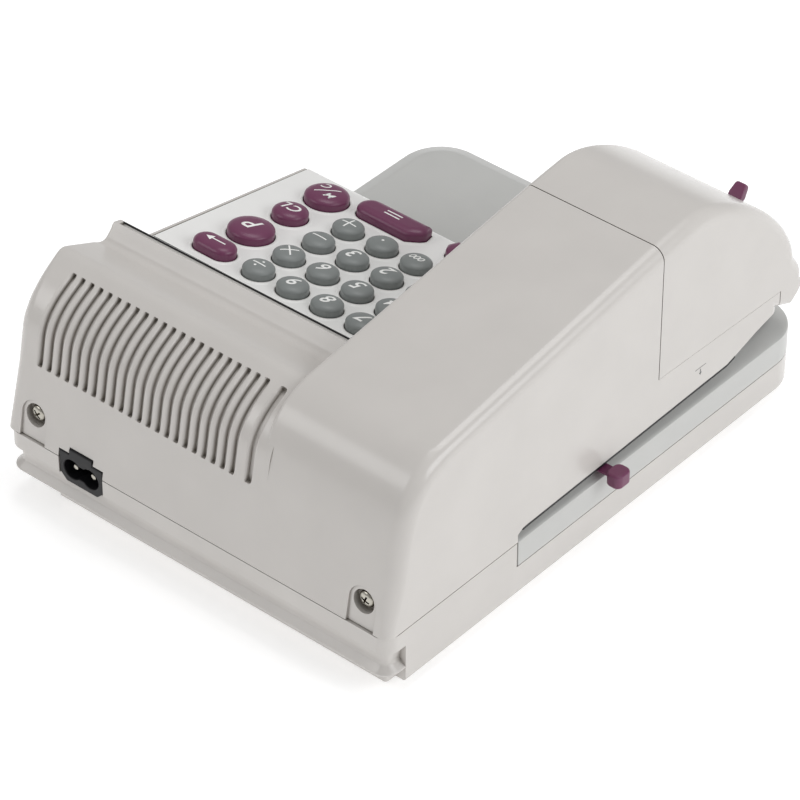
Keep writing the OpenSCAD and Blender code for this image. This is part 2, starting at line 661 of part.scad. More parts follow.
bracket_x0 = feed_x0 - 4;
bracket_x1 = feed_x1 + 4;
module lower_bracket() {
  color(steel_col) seat() difference() {
    union() {
      block([bracket_x0, print_y - 8, floor_z], [bracket_x1, pinch_at[0] + 8, floor_z + plate_t]);
      for (x = [bracket_x0, bracket_x1 - plate_t])
        block([x, print_y - 8, floor_z], [x + plate_t, pinch_at[0] + 8, seam_z - 1]);
    }
    for (at = [press_at, pinch_at]) xrod(bracket_x0 - 1, bracket_x1 + 1, shaft_r + run_gap, at);
  }
}

rail_y0 = cover_y + 4;
rail_y1 = slot_end + 5;
module guide_rail() {
  color("#a5a8ab") seat() yrod(rail_y0 - 2, rail_y1 + 2, rail_r, rail_x, rail_z);
}

stop_z0 = table_z + 0.5;
stop_z1 = table_z + 1.7;
module guide_slider() {
  color(plum_col) seat() {
    difference() {
      block([rail_x - 4, grip_y - 6, table_z + 6.6], [rail_x + 4, grip_y + 6, rail_z + 4]);
      yrod(grip_y - 7, grip_y + 7, rail_r + run_gap, rail_x, rail_z);
    }
    // web down to the slot, paper stop inside, stem and grip outside
    block([xl + wall + 1, grip_y - 3, stop_z0], [xl + wall + 4, grip_y + 3, table_z + 6.7]);
    block([xl - grip_out + 4, grip_y - 2.4, stop_z0], [rail_x + 20, grip_y + 2.4, stop_z1]);
    translate([xl - grip_out + 4.4, grip_y, table_z - 3]) intersection() {
      cylinder(r = 4.4, h = 9);
      translate([-4.4, -3.4, 0]) cube([8.8, 6.8, 9]);
    }
  }
}

module drive_motor() {
  color("#8f9295") seat() {
    xrod(right_x - 27, right_x, motor_r, motor_at);
    xrod(right_x - eps, right_x + plate_t - 0.2, 3.2, motor_at);
    xrod(right_x - 29.5, right_x - 27 + eps, 4, motor_at);
  }
}
module motor_pinion() {
  color("#e8e4d8") seat() {
    gear(motor_teeth, motor_phase, motor_at, 1);
    xrod(right_x + plate_t, gear_x0 + gear_w, 1, motor_at);
  }
}
module idler_gear() {
  color("#e8e4d8") seat() gear(idler_teeth, idler_phase, idler_at, shaft_r + run_gap);
}
module drum_gear() {
  color("#e8e4d8") seat() gear(drum_teeth, drum_phase, drum_at, shaft_r + 0.02);
}
module feed_gear() {
  color("#e8e4d8") seat() gear(feed_teeth, feed_phase, feed_at, shaft_r + 0.02);
}
module type_drum() {
  type_n = 24;
  color("#55585c") seat() {
    xrod(left_x - 1, gear_x0 + gear_w, shaft_r, drum_at);
    xrod(drum_x0, drum_x1, drum_r - 1.4, drum_at);
    for (i = [0:type_n - 1]) translate([drum_x0, drum_at[0], drum_at[1]]) rotate([i * 360 / type_n, 0, 0])
      block([2, -1.5, drum_r - 1.8], [drum_x1 - drum_x0 - 2, 1.5, drum_r - 0.1]);
  }
}
module ink_roller() {
  color("#2a2a3a") seat() {
    xrod(left_x - 1, right_x + plate_t + 1, shaft_r, ink_at);
    xrod(drum_x0 - 1, drum_x1 + 1, ink_r, ink_at);
  }
}
module feed_roller() {
  color("#2b2b2b") seat() {
    xrod(left_x - 1, gear_x0 + gear_w, shaft_r, feed_at);
    xrod(feed_x0, feed_x1, feed_r, feed_at);
  }
}
module pressure_roller() {
  color("#2b2b2b") seat() {
    xrod(bracket_x0 - 1, bracket_x1 + 1, shaft_r, press_at);
    xrod(drum_x0, drum_x1, press_r, press_at);
  }
}
module pinch_roller() {
  color("#2b2b2b") seat() {
    xrod(bracket_x0 - 1, bracket_x1 + 1, shaft_r, pinch_at);
    xrod(feed_x0, feed_x1, pinch_r, pinch_at);
  }
}

base_tray();
cheque_table();
top_housing();
print_cover();
keypad_cover();
display_window();
display_module();
key_mat();
key_board();
main_board();
transformer();
power_inlet();
inlet_pins();
rear_screws();
tray_screws();
feet();
frame_plate_left();
frame_plate_right();
frame_rods();
upper_guide();
lower_bracket();
guide_rail();
guide_slider();
cover_latch();
drive_motor();
motor_pinion();
idler_gear();
idler_pin();
type_drum();
drum_gear();
ink_roller();
feed_roller();
feed_gear();
pressure_roller();
pinch_roller();
key(0, key_col);  // key_7
key(1, key_col);  // key_8
key(2, key_col);  // key_9
key(3, key_col);  // key_divide
key(4, key_col);  // key_4
key(5, key_col);  // key_5
key(6, key_col);  // key_6
key(7, key_col);  // key_times
key(8, key_col);  // key_1
key(9, key_col);  // key_2
key(10, key_col);  // key_3
key(11, key_col);  // key_minus
key(12, key_col);  // key_0
key(13, key_col);  // key_000
key(14, key_col);  // key_point
key(15, key_col);  // key_plus
key(16, plum_col);  // key_back
key(17, plum_col);  // key_print
key(18, plum_col);  // key_clear
key(19, plum_col);  // key_memory
key(20, plum_col);  // key_enter
key(21, plum_col);  // key_equals
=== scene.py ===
# %% [markdown]
# # An electronic cheque writer
# The machine prints cheques. A tall printer housing stands on the user's left, over a grey table that the
# cheque lies on, and a tilted calculator keypad with a display hood stands on the right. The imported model
# holds every piece at its real size and place, so this lesson takes its sizes from there and gives the
# pieces that are seen their soft edges, their moulded plastic and their printed legends.

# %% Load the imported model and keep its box
import json
import math
import bpy
import bmesh
import numpy as np
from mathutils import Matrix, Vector

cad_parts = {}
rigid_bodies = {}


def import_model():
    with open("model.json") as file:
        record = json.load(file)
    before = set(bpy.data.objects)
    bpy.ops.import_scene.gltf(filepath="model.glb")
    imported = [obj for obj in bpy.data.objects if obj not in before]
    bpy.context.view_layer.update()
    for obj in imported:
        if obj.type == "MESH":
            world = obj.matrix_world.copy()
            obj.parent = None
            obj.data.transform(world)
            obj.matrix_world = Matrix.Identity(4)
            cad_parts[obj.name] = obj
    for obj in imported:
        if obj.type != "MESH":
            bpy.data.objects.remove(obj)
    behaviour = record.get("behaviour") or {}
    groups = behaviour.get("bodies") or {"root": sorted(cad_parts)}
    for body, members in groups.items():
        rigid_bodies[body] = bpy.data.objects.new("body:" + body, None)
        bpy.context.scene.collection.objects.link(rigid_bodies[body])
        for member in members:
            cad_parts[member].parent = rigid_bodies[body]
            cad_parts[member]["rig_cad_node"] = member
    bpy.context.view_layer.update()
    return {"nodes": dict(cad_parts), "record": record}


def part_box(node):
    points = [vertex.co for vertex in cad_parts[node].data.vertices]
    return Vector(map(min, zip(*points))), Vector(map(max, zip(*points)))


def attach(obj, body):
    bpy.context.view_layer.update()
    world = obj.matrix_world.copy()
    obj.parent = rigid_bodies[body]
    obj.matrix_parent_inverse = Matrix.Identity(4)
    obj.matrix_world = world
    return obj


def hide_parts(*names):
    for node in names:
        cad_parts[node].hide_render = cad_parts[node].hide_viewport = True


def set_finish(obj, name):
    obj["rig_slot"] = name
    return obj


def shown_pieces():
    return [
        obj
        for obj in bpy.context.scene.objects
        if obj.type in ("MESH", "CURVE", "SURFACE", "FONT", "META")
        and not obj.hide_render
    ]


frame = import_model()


# %% [markdown]
# ## Sizes
# The outlines of the mouldings are drawn in millimetres, because a maker thinks of walls and gaps in
# millimetres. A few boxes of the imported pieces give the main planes: the sides, the seam between the tray and
# the upper housing, the top of the table and the inner face of the printer housing.

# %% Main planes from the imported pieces
def box_mm(node):
    low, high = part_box(node)
    return [c * 1000 for c in low], [c * 1000 for c in high]


tray_low, tray_high = box_mm("base_tray")
LEFT, RIGHT = tray_low[0], tray_high[0]
FRONT, BACK = tray_low[1], tray_high[1]
FOOT, SEAM = tray_low[2], box_mm("top_housing")[0][2]
TABLE = box_mm("cheque_table")[1][2]
COVER_SEAM = box_mm("print_cover")[1][1] + 0.4
INNER = box_mm("print_cover")[1][0]
MIDDLE = (LEFT + RIGHT) / 2
WALL = 2.4
LEAN = 0.195
NOSE_Y = FRONT + 19
BAY_Y = FRONT + 75
SLOT_END = BACK - 69.3
print("body", RIGHT - LEFT, "x", BACK - FRONT, "seam at", round(SEAM, 2), "table at", round(TABLE, 2))


# %% [markdown]
# ## Building closed mouldings
# A moulded shell is easiest to describe by its side outline. A ring of points goes round the outline, and rings
# laid next to each other across the width make a closed body. Near each side the rings shrink by a quarter
# circle, which leaves a true rounded edge. Straight cuts are made afterwards with exact booleans.

# %% Helpers for outlines
def curve(a, b, c, d, n):
    """Points of a cubic curve after its first point."""
    a, b, c, d = (np.array(p, float) for p in (a, b, c, d))
    out = []
    for i in range(1, n + 1):
        t = i / n
        s = 1 - t
        out.append(tuple(s ** 3 * a + 3 * s * s * t * b + 3 * s * t * t * c + t ** 3 * d))
    return out


def arc(cx, cy, r, a0, a1, n):
    return [(cx + r * math.cos(math.radians(a0 + (a1 - a0) * i / n)),
             cy + r * math.sin(math.radians(a0 + (a1 - a0) * i / n))) for i in range(n + 1)]


def slab(x0, x1, y0, y1, rf, rb, n=10):
    """Rounded rectangle seen from above, with one radius in front and one behind."""
    rf, rb = max(rf, 0.05), max(rb, 0.05)
    return (arc(x0 + rf, y0 + rf, rf, 180, 270, n) + arc(x1 - rf, y0 + rf, rf, 270, 360, n)
            + arc(x1 - rb, y1 - rb, rb, 0, 90, n) + arc(x0 + rb, y1 - rb, rb, 90, 180, n))


def counter_clockwise(loop):
    area = sum(a[0] * b[1] - b[0] * a[1] for a, b in zip(loop, loop[1:] + loop[:1]))
    return list(loop) if area > 0 else list(loop)[::-1]


def inward(loop, closed=True):
    """For each point the step that moves both neighbouring edges inwards by one."""
    p = np.array(loop, float)
    before = np.roll(p, 1, 0)
    after = np.roll(p, -1, 0)
    if not closed:
        before[0] = 2 * p[0] - p[1]
        after[-1] = 2 * p[-1] - p[-2]
    e1, e2 = p - before, after - p
    e1 /= np.linalg.norm(e1, axis=1)[:, None]
    e2 /= np.linalg.norm(e2, axis=1)[:, None]
    n1 = np.stack([-e1[:, 1], e1[:, 0]], 1)
    n2 = np.stack([-e2[:, 1], e2[:, 0]], 1)
    return (n1 + n2) / np.maximum(1 + (n1 * n2).sum(1), 0.35)[:, None]


def shrink(loop, distance, closed=True):
    return np.array(loop, float) + inward(loop, closed) * np.reshape(distance, (-1, 1))


# %% Helpers for bodies
def add_object(name, data):
    """Puts new data into the scene as an object."""
    made = bpy.data.objects.new(name, data)
    bpy.context.scene.collection.objects.link(made)
    return made


def closed_body(name, rings):
    """A closed mesh from rings of (x, y, z) in millimetres."""
    n = len(rings[0])
    verts = [tuple(c * 0.001 for c in p) for ring in rings for p in ring]
    faces = [tuple(range(n))[::-1], tuple(range((len(rings) - 1) * n, len(rings) * n))]
    for k in range(len(rings) - 1):
        for i in range(n):
            j = (i + 1) % n
            faces.append((k * n + i, k * n + j, (k + 1) * n + j, (k + 1) * n + i))
    mesh = bpy.data.meshes.new(name)
    mesh.from_pydata(verts, [], faces)
    piece = add_object(name, mesh)
    tidy_mesh(mesh)
    return piece


def ring_y(x, y, z, r, step):
    """Circle round a line along y, one point each step degrees."""
    return [(x + r * math.cos(math.radians(a)), y, z + r * math.sin(math.radians(a))) for a in range(0, 360, step)]


def tidy_mesh(mesh):
    bm = bmesh.new()
    bm.from_mesh(mesh)
    bmesh.ops.remove_doubles(bm, verts=bm.verts, dist=2e-6)
    bmesh.ops.dissolve_degenerate(bm, edges=bm.edges, dist=2e-6)
    bmesh.ops.recalc_face_normals(bm, faces=bm.faces)
    bm.to_mesh(mesh)
    bm.free()


def side_form(name, outline, x0, x1, r0=0.0, r1=0.0, steps=7):
    """Body from a Y-Z outline. x0, x1, r0 and r1 may be numbers or functions of y and z."""
    loop = counter_clockwise(outline)
    p = np.array(loop, float)
    m = inward(loop)

    def each(v):
        return np.array([v(*q) for q in loop]) if callable(v) else np.full(len(loop), float(v))

    x0, x1, r0, r1 = each(x0), each(x1), each(r0), each(r1)
    rings = []
    for x, r, sign in ((x0, r0, 1), (x1, r1, -1)):
        part = []
        for k in range(steps + 1 if r.max() > 0 else 1):
            a = math.radians(90 * k / steps)
            q = p + m * (r * (1 - math.sin(a)))[:, None] if r.max() > 0 else p
            xs = x + sign * r * (1 - math.cos(a))
            part.append([(xs[i], q[i][0], q[i][1]) for i in range(len(loop))])
        rings += part if sign == 1 else part[::-1]
    return closed_body(name, rings)


def plan_form(name, outline, levels, place=None):
    """Body from an outline seen from above and a list of (height, inset)."""
    loop = counter_clockwise(outline)
    rings = []
    for z, inset in levels:
        ring = shrink(loop, inset)
        rings.append([(a, b, z) for a, b in ring])
    if place:
        rings = [[place(*q) for q in ring] for ring in rings]
    return closed_body(name, rings)


def combine(piece, tool, operation):
    """Exact boolean of two closed bodies. The tool is used up."""
    m = piece.modifiers.new("boolean", "BOOLEAN")
    m.operation, m.solver, m.object = operation, "EXACT", tool
    bpy.context.view_layer.update()
    mesh = bpy.data.meshes.new_from_object(piece.evaluated_get(bpy.context.evaluated_depsgraph_get()))
    piece.modifiers.clear()
    piece.data = mesh
    bpy.data.objects.remove(tool)
    tidy_mesh(mesh)
    return piece


def cut(piece, tool):
    return combine(piece, tool, "DIFFERENCE")


def join(piece, tool):
    return combine(piece, tool, "UNION")


def common(piece, tool):
    return combine(piece, tool, "INTERSECT")


def copy_of(piece, name):
    other = piece.copy()
    other.data = piece.data.copy()
    other.name = name
    bpy.context.scene.collection.objects.link(other)
    return other


def gather(name, pieces):
    """Several bodies that don't touch, as one object, so that one boolean does them all."""
    bm = bmesh.new()
    for o in pieces:
        bm.from_mesh(o.data)
        bpy.data.objects.remove(o)
    mesh = bpy.data.meshes.new(name)
    bm.to_mesh(mesh)
    bm.free()
    return add_object(name, mesh)


def soften(piece, width=0.35, angle=32, segments=2):
    """Breaks the sharp edges, as the radius in every mould does, and smooths the shading."""
    mesh = piece.data
    mesh.shade_smooth()
    mesh.set_sharp_from_angle(angle=math.radians(angle))
    if width:
        b = piece.modifiers.new("edge radius", "BEVEL")
        b.width, b.segments, b.limit_method = width * 0.001, segments, "ANGLE"
        b.angle_limit = math.radians(angle)
        b.use_clamp_overlap = True
    w = piece.modifiers.new("even shading", "WEIGHTED_NORMAL")
    w.keep_sharp = not width
    return piece


def block(name, low, high):
    (x0, y0, z0), (x1, y1, z1) = low, high
    return closed_body(name, [[(x0, y0, z), (x1, y0, z), (x1, y1, z), (x0, y1, z)] for z in (z0, z1)])


print("helpers ready")


# %% [markdown]
# ## The outlines
# The printer housing and its lift-off cover share one outline, so that their skins run on without a step. It
# goes up the leaning back, over a wide shoulder, along the rising top and down over the round front to the
# chin of the cover. The keypad side has a lower outline with a ridge, a shallow dip and the display hood.

# %% Outline of the printer housing and its cover
def wall_y(z):
    return BACK - (z - SEAM) * LEAN


def top_z(y):
    return SEAM + 60 - 0.1505 * (y - BACK)


lean = np.array([-LEAN, 1.0])
shoulder_z, shoulder_y = SEAM + 33.4, BACK - 35
crest_y = COVER_SEAM - 17
chin = np.array([FRONT + 9, SEAM + 33.4])
printer_skin = [(wall_y(SEAM - 25), SEAM - 25), (wall_y(shoulder_z - 16), shoulder_z - 16),
                (wall_y(shoulder_z), shoulder_z)]
printer_skin += curve(printer_skin[-1], np.array(printer_skin[-1]) + 20 * lean,
                      (shoulder_y + 18, top_z(shoulder_y + 18) + 0.4), (shoulder_y, top_z(shoulder_y)), 22)
printer_skin += [(COVER_SEAM + 10, top_z(COVER_SEAM + 10)), (COVER_SEAM, top_z(COVER_SEAM)),
                 (COVER_SEAM - 8, top_z(COVER_SEAM - 8) - 0.1), (crest_y, top_z(crest_y) - 0.4)]
printer_skin += curve((crest_y, top_z(crest_y) - 0.4), (crest_y - 21, top_z(crest_y) + 2.3), chin + [2, 22], chin, 26)
printer_skin += curve(chin, chin + [-1.5, -3], (FRONT + 4, chin[1] - 5), (FRONT + 4, chin[1] - 10), 6)
chin_low = (FRONT + 11.5, chin[1] - 20.4)
printer_skin += curve((FRONT + 4, chin[1] - 10), (FRONT + 4, chin[1] - 15), (FRONT + 7, chin[1] - 18), chin_low, 8)
slot_line = [(NOSE_Y, TABLE + 12.8), (NOSE_Y + 14, TABLE + 9.6), (NOSE_Y + 26.1, TABLE + 5.9),
             (NOSE_Y + 30.8, TABLE + 4.6), (SLOT_END - 5.4, TABLE + 2.1), (SLOT_END - 2.2, TABLE + 1.9),
             (SLOT_END, SEAM)]
strip_rear, strip_front = TABLE + 22.2, TABLE + 20
print("printer outline", len(printer_skin), "points, top at", round(max(p[1] for p in printer_skin), 2))

# %% Outline of the keypad side
turn_z = SEAM + 41.4
ridge = np.array([BACK - 32.5, SEAM + 61.6])
dip = np.array([BACK - 50, SEAM + 54.2])
hood = np.array([BACK - 59, SEAM + 59.9])
bay_skin = [(wall_y(SEAM - 25), SEAM - 25), (wall_y(turn_z - 14), turn_z - 14), (wall_y(turn_z), turn_z)]
lip = hood + [0, -0.5]
bay_skin += curve(bay_skin[-1], np.array(bay_skin[-1]) + 11 * lean, ridge + [11.5, -4.1], ridge + [3.6, -0.5], 20)
bay_skin += curve(bay_skin[-1], ridge + [1.6, 0.45], ridge + [-0.2, 0.5], ridge + [-2.1, -0.35], 6)
bay_skin += curve(bay_skin[-1], ridge + [-6, -2.0], ridge + [-11, -4.3], ridge + [-15.6, -6.3], 4)
bay_skin += curve(bay_skin[-1], ridge + [-18.9, -7.75], ridge + [-20.8, -7.9], ridge + [-22.6, -6.2], 7)
bay_skin += curve(bay_skin[-1], ridge + [-24.2, -4.7], lip + [1.3, -1.1], lip, 4)
TILT = math.radians(10.76)
PANEL_Y, PANEL_Z = hood[0] - 26.34, hood[1] - 18.4


def panel_z(y):
    return PANEL_Z + math.tan(TILT) * (y - PANEL_Y)


def on_panel(x, v, h):
    """A point of the tilted keypad: x across, v up the slope, h above its surface."""
    return (MIDDLE + x, PANEL_Y + v * math.cos(TILT) - h * math.sin(TILT),
            PANEL_Z + v * math.sin(TILT) + h * math.cos(TILT))


face_top = hood + [-3.3, -1.4]
face_foot = np.array([PANEL_Y + 12.2, panel_z(PANEL_Y + 12.2) + 0.3])


def lower_hood(piece):
    """The hood's edge drops by 1.3 mm toward the right end."""
    for v in piece.data.vertices:
        x, y, z = (c * 1000 for c in v.co)
        if z > SEAM + 45 and y < dip[0] + 2:
            near = min(max((dip[0] + 2 - y) / 7, 0), 1) * min(max((y - PANEL_Y - 12.5) / 8, 0), 1)
            v.co.z -= 0.0013 * near * min(max((x - INNER) / (RIGHT - INNER), 0), 1)
    piece.data.update()


print("hood edge at", hood.round(2), "panel point", round(PANEL_Y, 2), round(PANEL_Z, 2))


# %% [markdown]
# ## The printer shell
# The full outer body is made once and hollowed once, and then two flat cutters share it out: one keeps what
# belongs to the housing, the other what belongs to the cover, with a gap of 0.4 mm between them. Cutting both
# from one body is how the seam stays even all the way round the rounded edge.

# %% Outer body, hollow, housing part and cover part
def outer_radius(y, z):
    """Plan radius on the slot side: wide on the back, softer on top, small under the chin."""
    if z < SEAM - 20:
        return 0.3
    if y < FRONT + 14 and z < chin[1] - 12:
        return 1.6
    if y < FRONT + 30:
        return 5.0
    return 6.0 if y > BACK - 30 else 5.2


def inner_face(y, z):
    """The face beside the keypad stands a little askew, wider at the back."""
    return INNER + 0.02 * y


closing = [(NOSE_Y - 0.4, chin_low[1] + 1.6), (NOSE_Y + 1, SEAM - 25)]
printer_full = side_form("printer_full", printer_skin + closing, LEFT, inner_face, outer_radius,
                         lambda y, z: 0.3 if z < SEAM - 20 else (1.2 if y < FRONT + 14 and z < chin[1] - 12 else 2.2))
backwards = counter_clockwise(printer_skin)[0] != printer_skin[0]
under = shrink(printer_skin[::-1] if backwards else printer_skin, WALL, False)
under = [tuple(p) for p in under]
if under[0][1] > under[-1][1]:
    under = under[::-1]
hollow_outline = [(under[0][0], -8)] + under + [(under[-1][0] + 0.4, -8)]
printer_hollow = side_form("printer_hollow", hollow_outline, LEFT + WALL, lambda y, z: inner_face(y, z) - WALL,
                           lambda y, z: 3.2 if z > SEAM else 0.3, lambda y, z: 0.5, 4)
printer_shell = cut(printer_full, printer_hollow)
cover_shell = copy_of(printer_shell, "cover_shell")
housing_zone = [(COVER_SEAM, 200), (COVER_SEAM, strip_rear), (NOSE_Y, strip_front)] + slot_line[:-1] + [
    (SLOT_END, TABLE + 0.6), (SLOT_END, SEAM + 0.15), (BACK + 30, SEAM + 0.15), (BACK + 30, 200)]
housing = common(printer_shell, side_form("zone", housing_zone, LEFT - 20, RIGHT + 20))
cover_zone = [(COVER_SEAM - 0.4, 200), (COVER_SEAM - 0.4, strip_rear + 0.08), (NOSE_Y - 0.4, strip_front + 0.08),
              (NOSE_Y - 0.4, 20), (FRONT - 30, 20), (FRONT - 30, 200)]
cover = common(cover_shell, side_form("zone", cover_zone, LEFT - 20, RIGHT + 20))
print("housing faces", len(housing.data.polygons), "cover faces", len(cover.data.polygons))


# %% [markdown]
# ## The keypad side of the housing
# This part is only a bent sheet with one side wall: the sheet carries the vents and ends in the lip of the
# display hood, and the wall closes the machine on the right. It is joined to the printer housing, as one
# moulding, and the step between the two stays visible on the back.

# %% Bent sheet with its side wall
bay_face = [tuple(face_top), tuple(face_foot), (BAY_Y + 3, panel_z(BAY_Y + 3)), (BAY_Y, panel_z(BAY_Y) - 3),
            (BAY_Y, TABLE + 0.3), (BAY_Y + 8.3, TABLE + 0.3), (BAY_Y + 8.3, SEAM - 25)]


def side_radius(y, z):
    if z < SEAM - 20:
        return 0.6
    if y < PANEL_Y + 14:
        return 2.0
    if y < hood[0] + 1.5:
        return 0.6
    return 1.0 + 5.0 * min(max((y - BACK + 33) / 22, 0), 1)


bay = side_form("bay", bay_skin + bay_face, INNER - WALL + 0.1, RIGHT, 0, side_radius)
bay_under = [tuple(p) for p in shrink(bay_skin, WALL, False)]
out_of_lip = hood + (hood - np.array(bay_under[-1])) * 3
bay_open = [(bay_under[0][0], -8)] + bay_under + [tuple(out_of_lip), (BAY_Y - 30, 160), (BAY_Y - 30, -8)]
bay = cut(bay, side_form("bay_open", bay_open, LEFT, RIGHT - WALL))
lower_hood(bay)
bay = common(bay, block("above_seam", (LEFT, FRONT, SEAM + 0.15), (RIGHT + 9, BACK + 9, 180)))
housing = join(housing, bay)
print("housing with keypad side:", len(housing.data.polygons), "faces")


# %% [markdown]
# ## Vents, screw wells and the inlet opening
# The blind grooves on the back are moulded in, not cut through. Each one follows the bend of the back, so its
# cutter is a trough swept along the same outline: round at the bottom and a little wider at the skin, which
# leaves half-round ribs between the grooves.

# %% Groove cutters
VENT_PITCH = 4.35
skin_points = np.array(bay_skin, float)
skin_step = np.r_[0, np.cumsum(np.linalg.norm(np.diff(skin_points, axis=0), axis=1))]
skin_in = inward(bay_skin, False)
groove_from = float(np.interp(SEAM + 30, skin_points[:24, 1], skin_step[:24]))
groove_to = float(np.interp(-(BACK - 26), -skin_points[:24, 0], skin_step[:24]))


def groove(x, half_mouth, depth, floor_half=0.42, samples=26):
    """A trough under the skin at x. Its sides are the quarter ellipses that leave half-round ribs."""
    rings = []
    ends = [0, 0.4, 1.0, 1.8]
    length = groove_to - groove_from
    middle = [2.2 + (length - 4.4) * i / samples for i in range(samples + 1)]
    along = ends + middle + [length - e for e in ends[::-1]]
    for s in along:
        at = groove_from + s
        p = np.array([np.interp(at, skin_step, skin_points[:, k]) for k in (0, 1)])
        n = np.array([np.interp(at, skin_step, skin_in[:, k]) for k in (0, 1)])
        n /= np.linalg.norm(n)
        end = min(min(s, length - s) / 3.2, 1)
        mouth = 0.75 + (half_mouth - 0.75) * math.sqrt(max(0.0, 1 - (1 - end) ** 2))
        side = []
        for i in range(8):
            d = depth * (i / 7) ** 1.5
            rib = math.sqrt(max(0.0, 1 - (1 - d / depth) ** 2))
            side.append((mouth - (mouth - floor_half) * rib, *(p + n * d)))
        ring = [(x - mouth, *(p - n * 1.0))] + [(x - a, b, c) for a, b, c in side]
        ring += [(x + a, b, c) for a, b, c in side[::-1]] + [(x + mouth, *(p - n * 1.0))]
        rings.append(ring)
    return closed_body("groove", rings)


grooves = [groove(RIGHT - 12.8 - i * VENT_PITCH, VENT_PITCH / 2 - 0.1, 2.0, 0.6) for i in range(22)]
grooves.append(groove(INNER + 6.3, 2.3, 2.0, 1.0))
housing = cut(housing, gather("grooves", grooves))
print("grooves", len(grooves), "length", round(groove_to - groove_from, 1), "mm")


# %% [markdown]
# The two screws that hold the housing sit in round wells. Below each well the leaning back is flattened down to
# the seam, so that the mould can open. The inlet opening follows the black socket that sits in it.

# %% Wells, flats and the inlet opening
SCREW_X, SCREW_Z = 77.2, SEAM + 10


def rod_y(name, x, z, r, y0, y1, n=48):
    return closed_body(name, [[(x + r * math.cos(2 * math.pi * i / n), y, z + r * math.sin(2 * math.pi * i / n))
                               for i in range(n)] for y in (y0, y1)])


def under_arch(x, half, y_top, y_bottom):
    """Cutter with a round top and straight sides whose inner face runs from y_top down to y_bottom."""
    top = arc(0, SCREW_Z, half, 0, 180, 20)
    outline = top + [(-half, SEAM - 4), (half, SEAM - 4)]

    def inner(z):
        t = (z - SEAM) / (SCREW_Z + half - SEAM)
        return y_bottom + (y_top - y_bottom) * t

    return closed_body("arch", [[(x + a, inner(z), z) for a, z in outline], [(x + a, BACK + 8, z) for a, z in outline]])


INLET_X = MIDDLE + 53.5
INLET_W, INLET_LOW, INLET_HIGH = 10.5, SEAM - 9.7, SEAM + 3.2


def inlet_outline(grow):
    w, k = INLET_W + grow, 5.5 + grow
    low, high = INLET_LOW - grow, INLET_HIGH + grow
    return [(-w + 3, low), (w - 3, low), (w, low + 3), (w, high), (k, high), (k, high + 2.4), (-k, high + 2.4),
            (-k, high), (-w, high), (-w, low + 3)]


def inlet_body(name, grow, y0, y1):
    return closed_body(name, [[(INLET_X + a, y, z) for a, z in inlet_outline(grow)] for y in (y0, y1)])


for side in (-1, 1):
    housing = cut(housing, under_arch(MIDDLE + side * SCREW_X, 6.1, wall_y(SCREW_Z + 6) - 0.55, BACK - 1.1))
    housing = join(housing, rod_y("boss", MIDDLE + side * SCREW_X, SCREW_Z, 6.4, BACK - 10, BACK - 3.6))
    housing = cut(housing, rod_y("well", MIDDLE + side * SCREW_X, SCREW_Z, 4.6, wall_y(SCREW_Z) - 3.4, BACK + 3))
housing = cut(housing, inlet_body("opening", 0.25, BACK - 17, BACK + 5))
print("housing finished:", len(housing.data.polygons), "faces")


# %% [markdown]
# ## The cover's thumb recess and latch
# The plum latch stands out of a shallow recess in the cover's left shoulder. A flattened ball makes a recess
# with no hard edge, and a slot lets the latch through.

# %% Recess and slot in the cover
latch_low, latch_high = box_mm("cover_latch")
LATCH_X = (latch_low[0] + latch_high[0]) / 2
LATCH_Y, LATCH_Z = FRONT + 22.5, top_z(crest_y) - 27.3


def on_latch(x, y, z):
    """A point of the latch's own frame, which leans forward by 45 degrees."""
    c = math.sqrt(0.5)
    return (LATCH_X + x, LATCH_Y + (y - z) * c, LATCH_Z + (y + z) * c)


def dish(name, place, rx, ry, depth, lift, n=40, rings=10):
    """A lens-shaped cutter: only its lower cap enters the skin."""
    levels = []
    turns = [2 * math.pi * i / n for i in range(n)]
    for k in range(rings + 1):
        a = math.pi / 2 * k / rings
        across, height = math.sin(a), lift - depth * math.cos(a)
        levels.append([place(rx * across * math.cos(t) or 1e-4, ry * across * math.sin(t), height) for t in turns])
    levels[0] = [place(rx * 0.02 * math.cos(t), ry * 0.02 * math.sin(t), lift - depth) for t in turns]
    levels.append([place(rx * math.cos(t), ry * math.sin(t), lift + 6) for t in turns])
    return closed_body(name, levels)


cover = cut(cover, dish("recess", lambda a, b, c: on_latch(a + 4.5, b, c), 13.5, 7.5, 1.9, 0.9))
slot_loop = ((-3.5, -2.1), (12.5, -2.1), (12.5, 2.1), (-3.5, 2.1))
cover = cut(cover, closed_body("latch_slot", [[on_latch(x, y, z) for x, y in slot_loop] for z in (-8, 9)]))
print("cover finished:", len(cover.data.polygons), "faces")

# %% The latch with its tapered thumb piece
foot_loop = slab(-6, 6, -5, 5, 1, 1, 3)
latch = closed_body("cover_latch_part", [[on_latch(x, y, z) for x, y in foot_loop] for z in (-5.6, -3.6)])
stem = []
for z, hx, hy in ((-3.8, 2.9, 1.6), (0.5, 2.9, 1.6), (1.6, 3.0, 1.7), (5.2, 2.5, 1.35), (6.0, 2.2, 1.1),
                  (6.25, 1.7, 0.7)):
    stem.append([on_latch(x, y, z) for x, y in slab(-hx, hx, -hy, hy, 0.6, 0.6, 4)])
latch = join(latch, closed_body("latch_stem", stem))
soften(latch, 0.2)
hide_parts("cover_latch")
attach(latch, "latch")
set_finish(latch, "plum_plastic")
print("latch at", [round(c, 1) for c in on_latch(0, 0, 0)])


# %% [markdown]
# ## The tray
# The lower half is a shallow tray. Under the grey table its wall is low, and on the back it is stepped: a
# shallow band under the seam, a thin rounded lip and an inset foot strip. The profile of those steps is swept
# along the back and cut away, which keeps the lip crisp enough to catch the light.

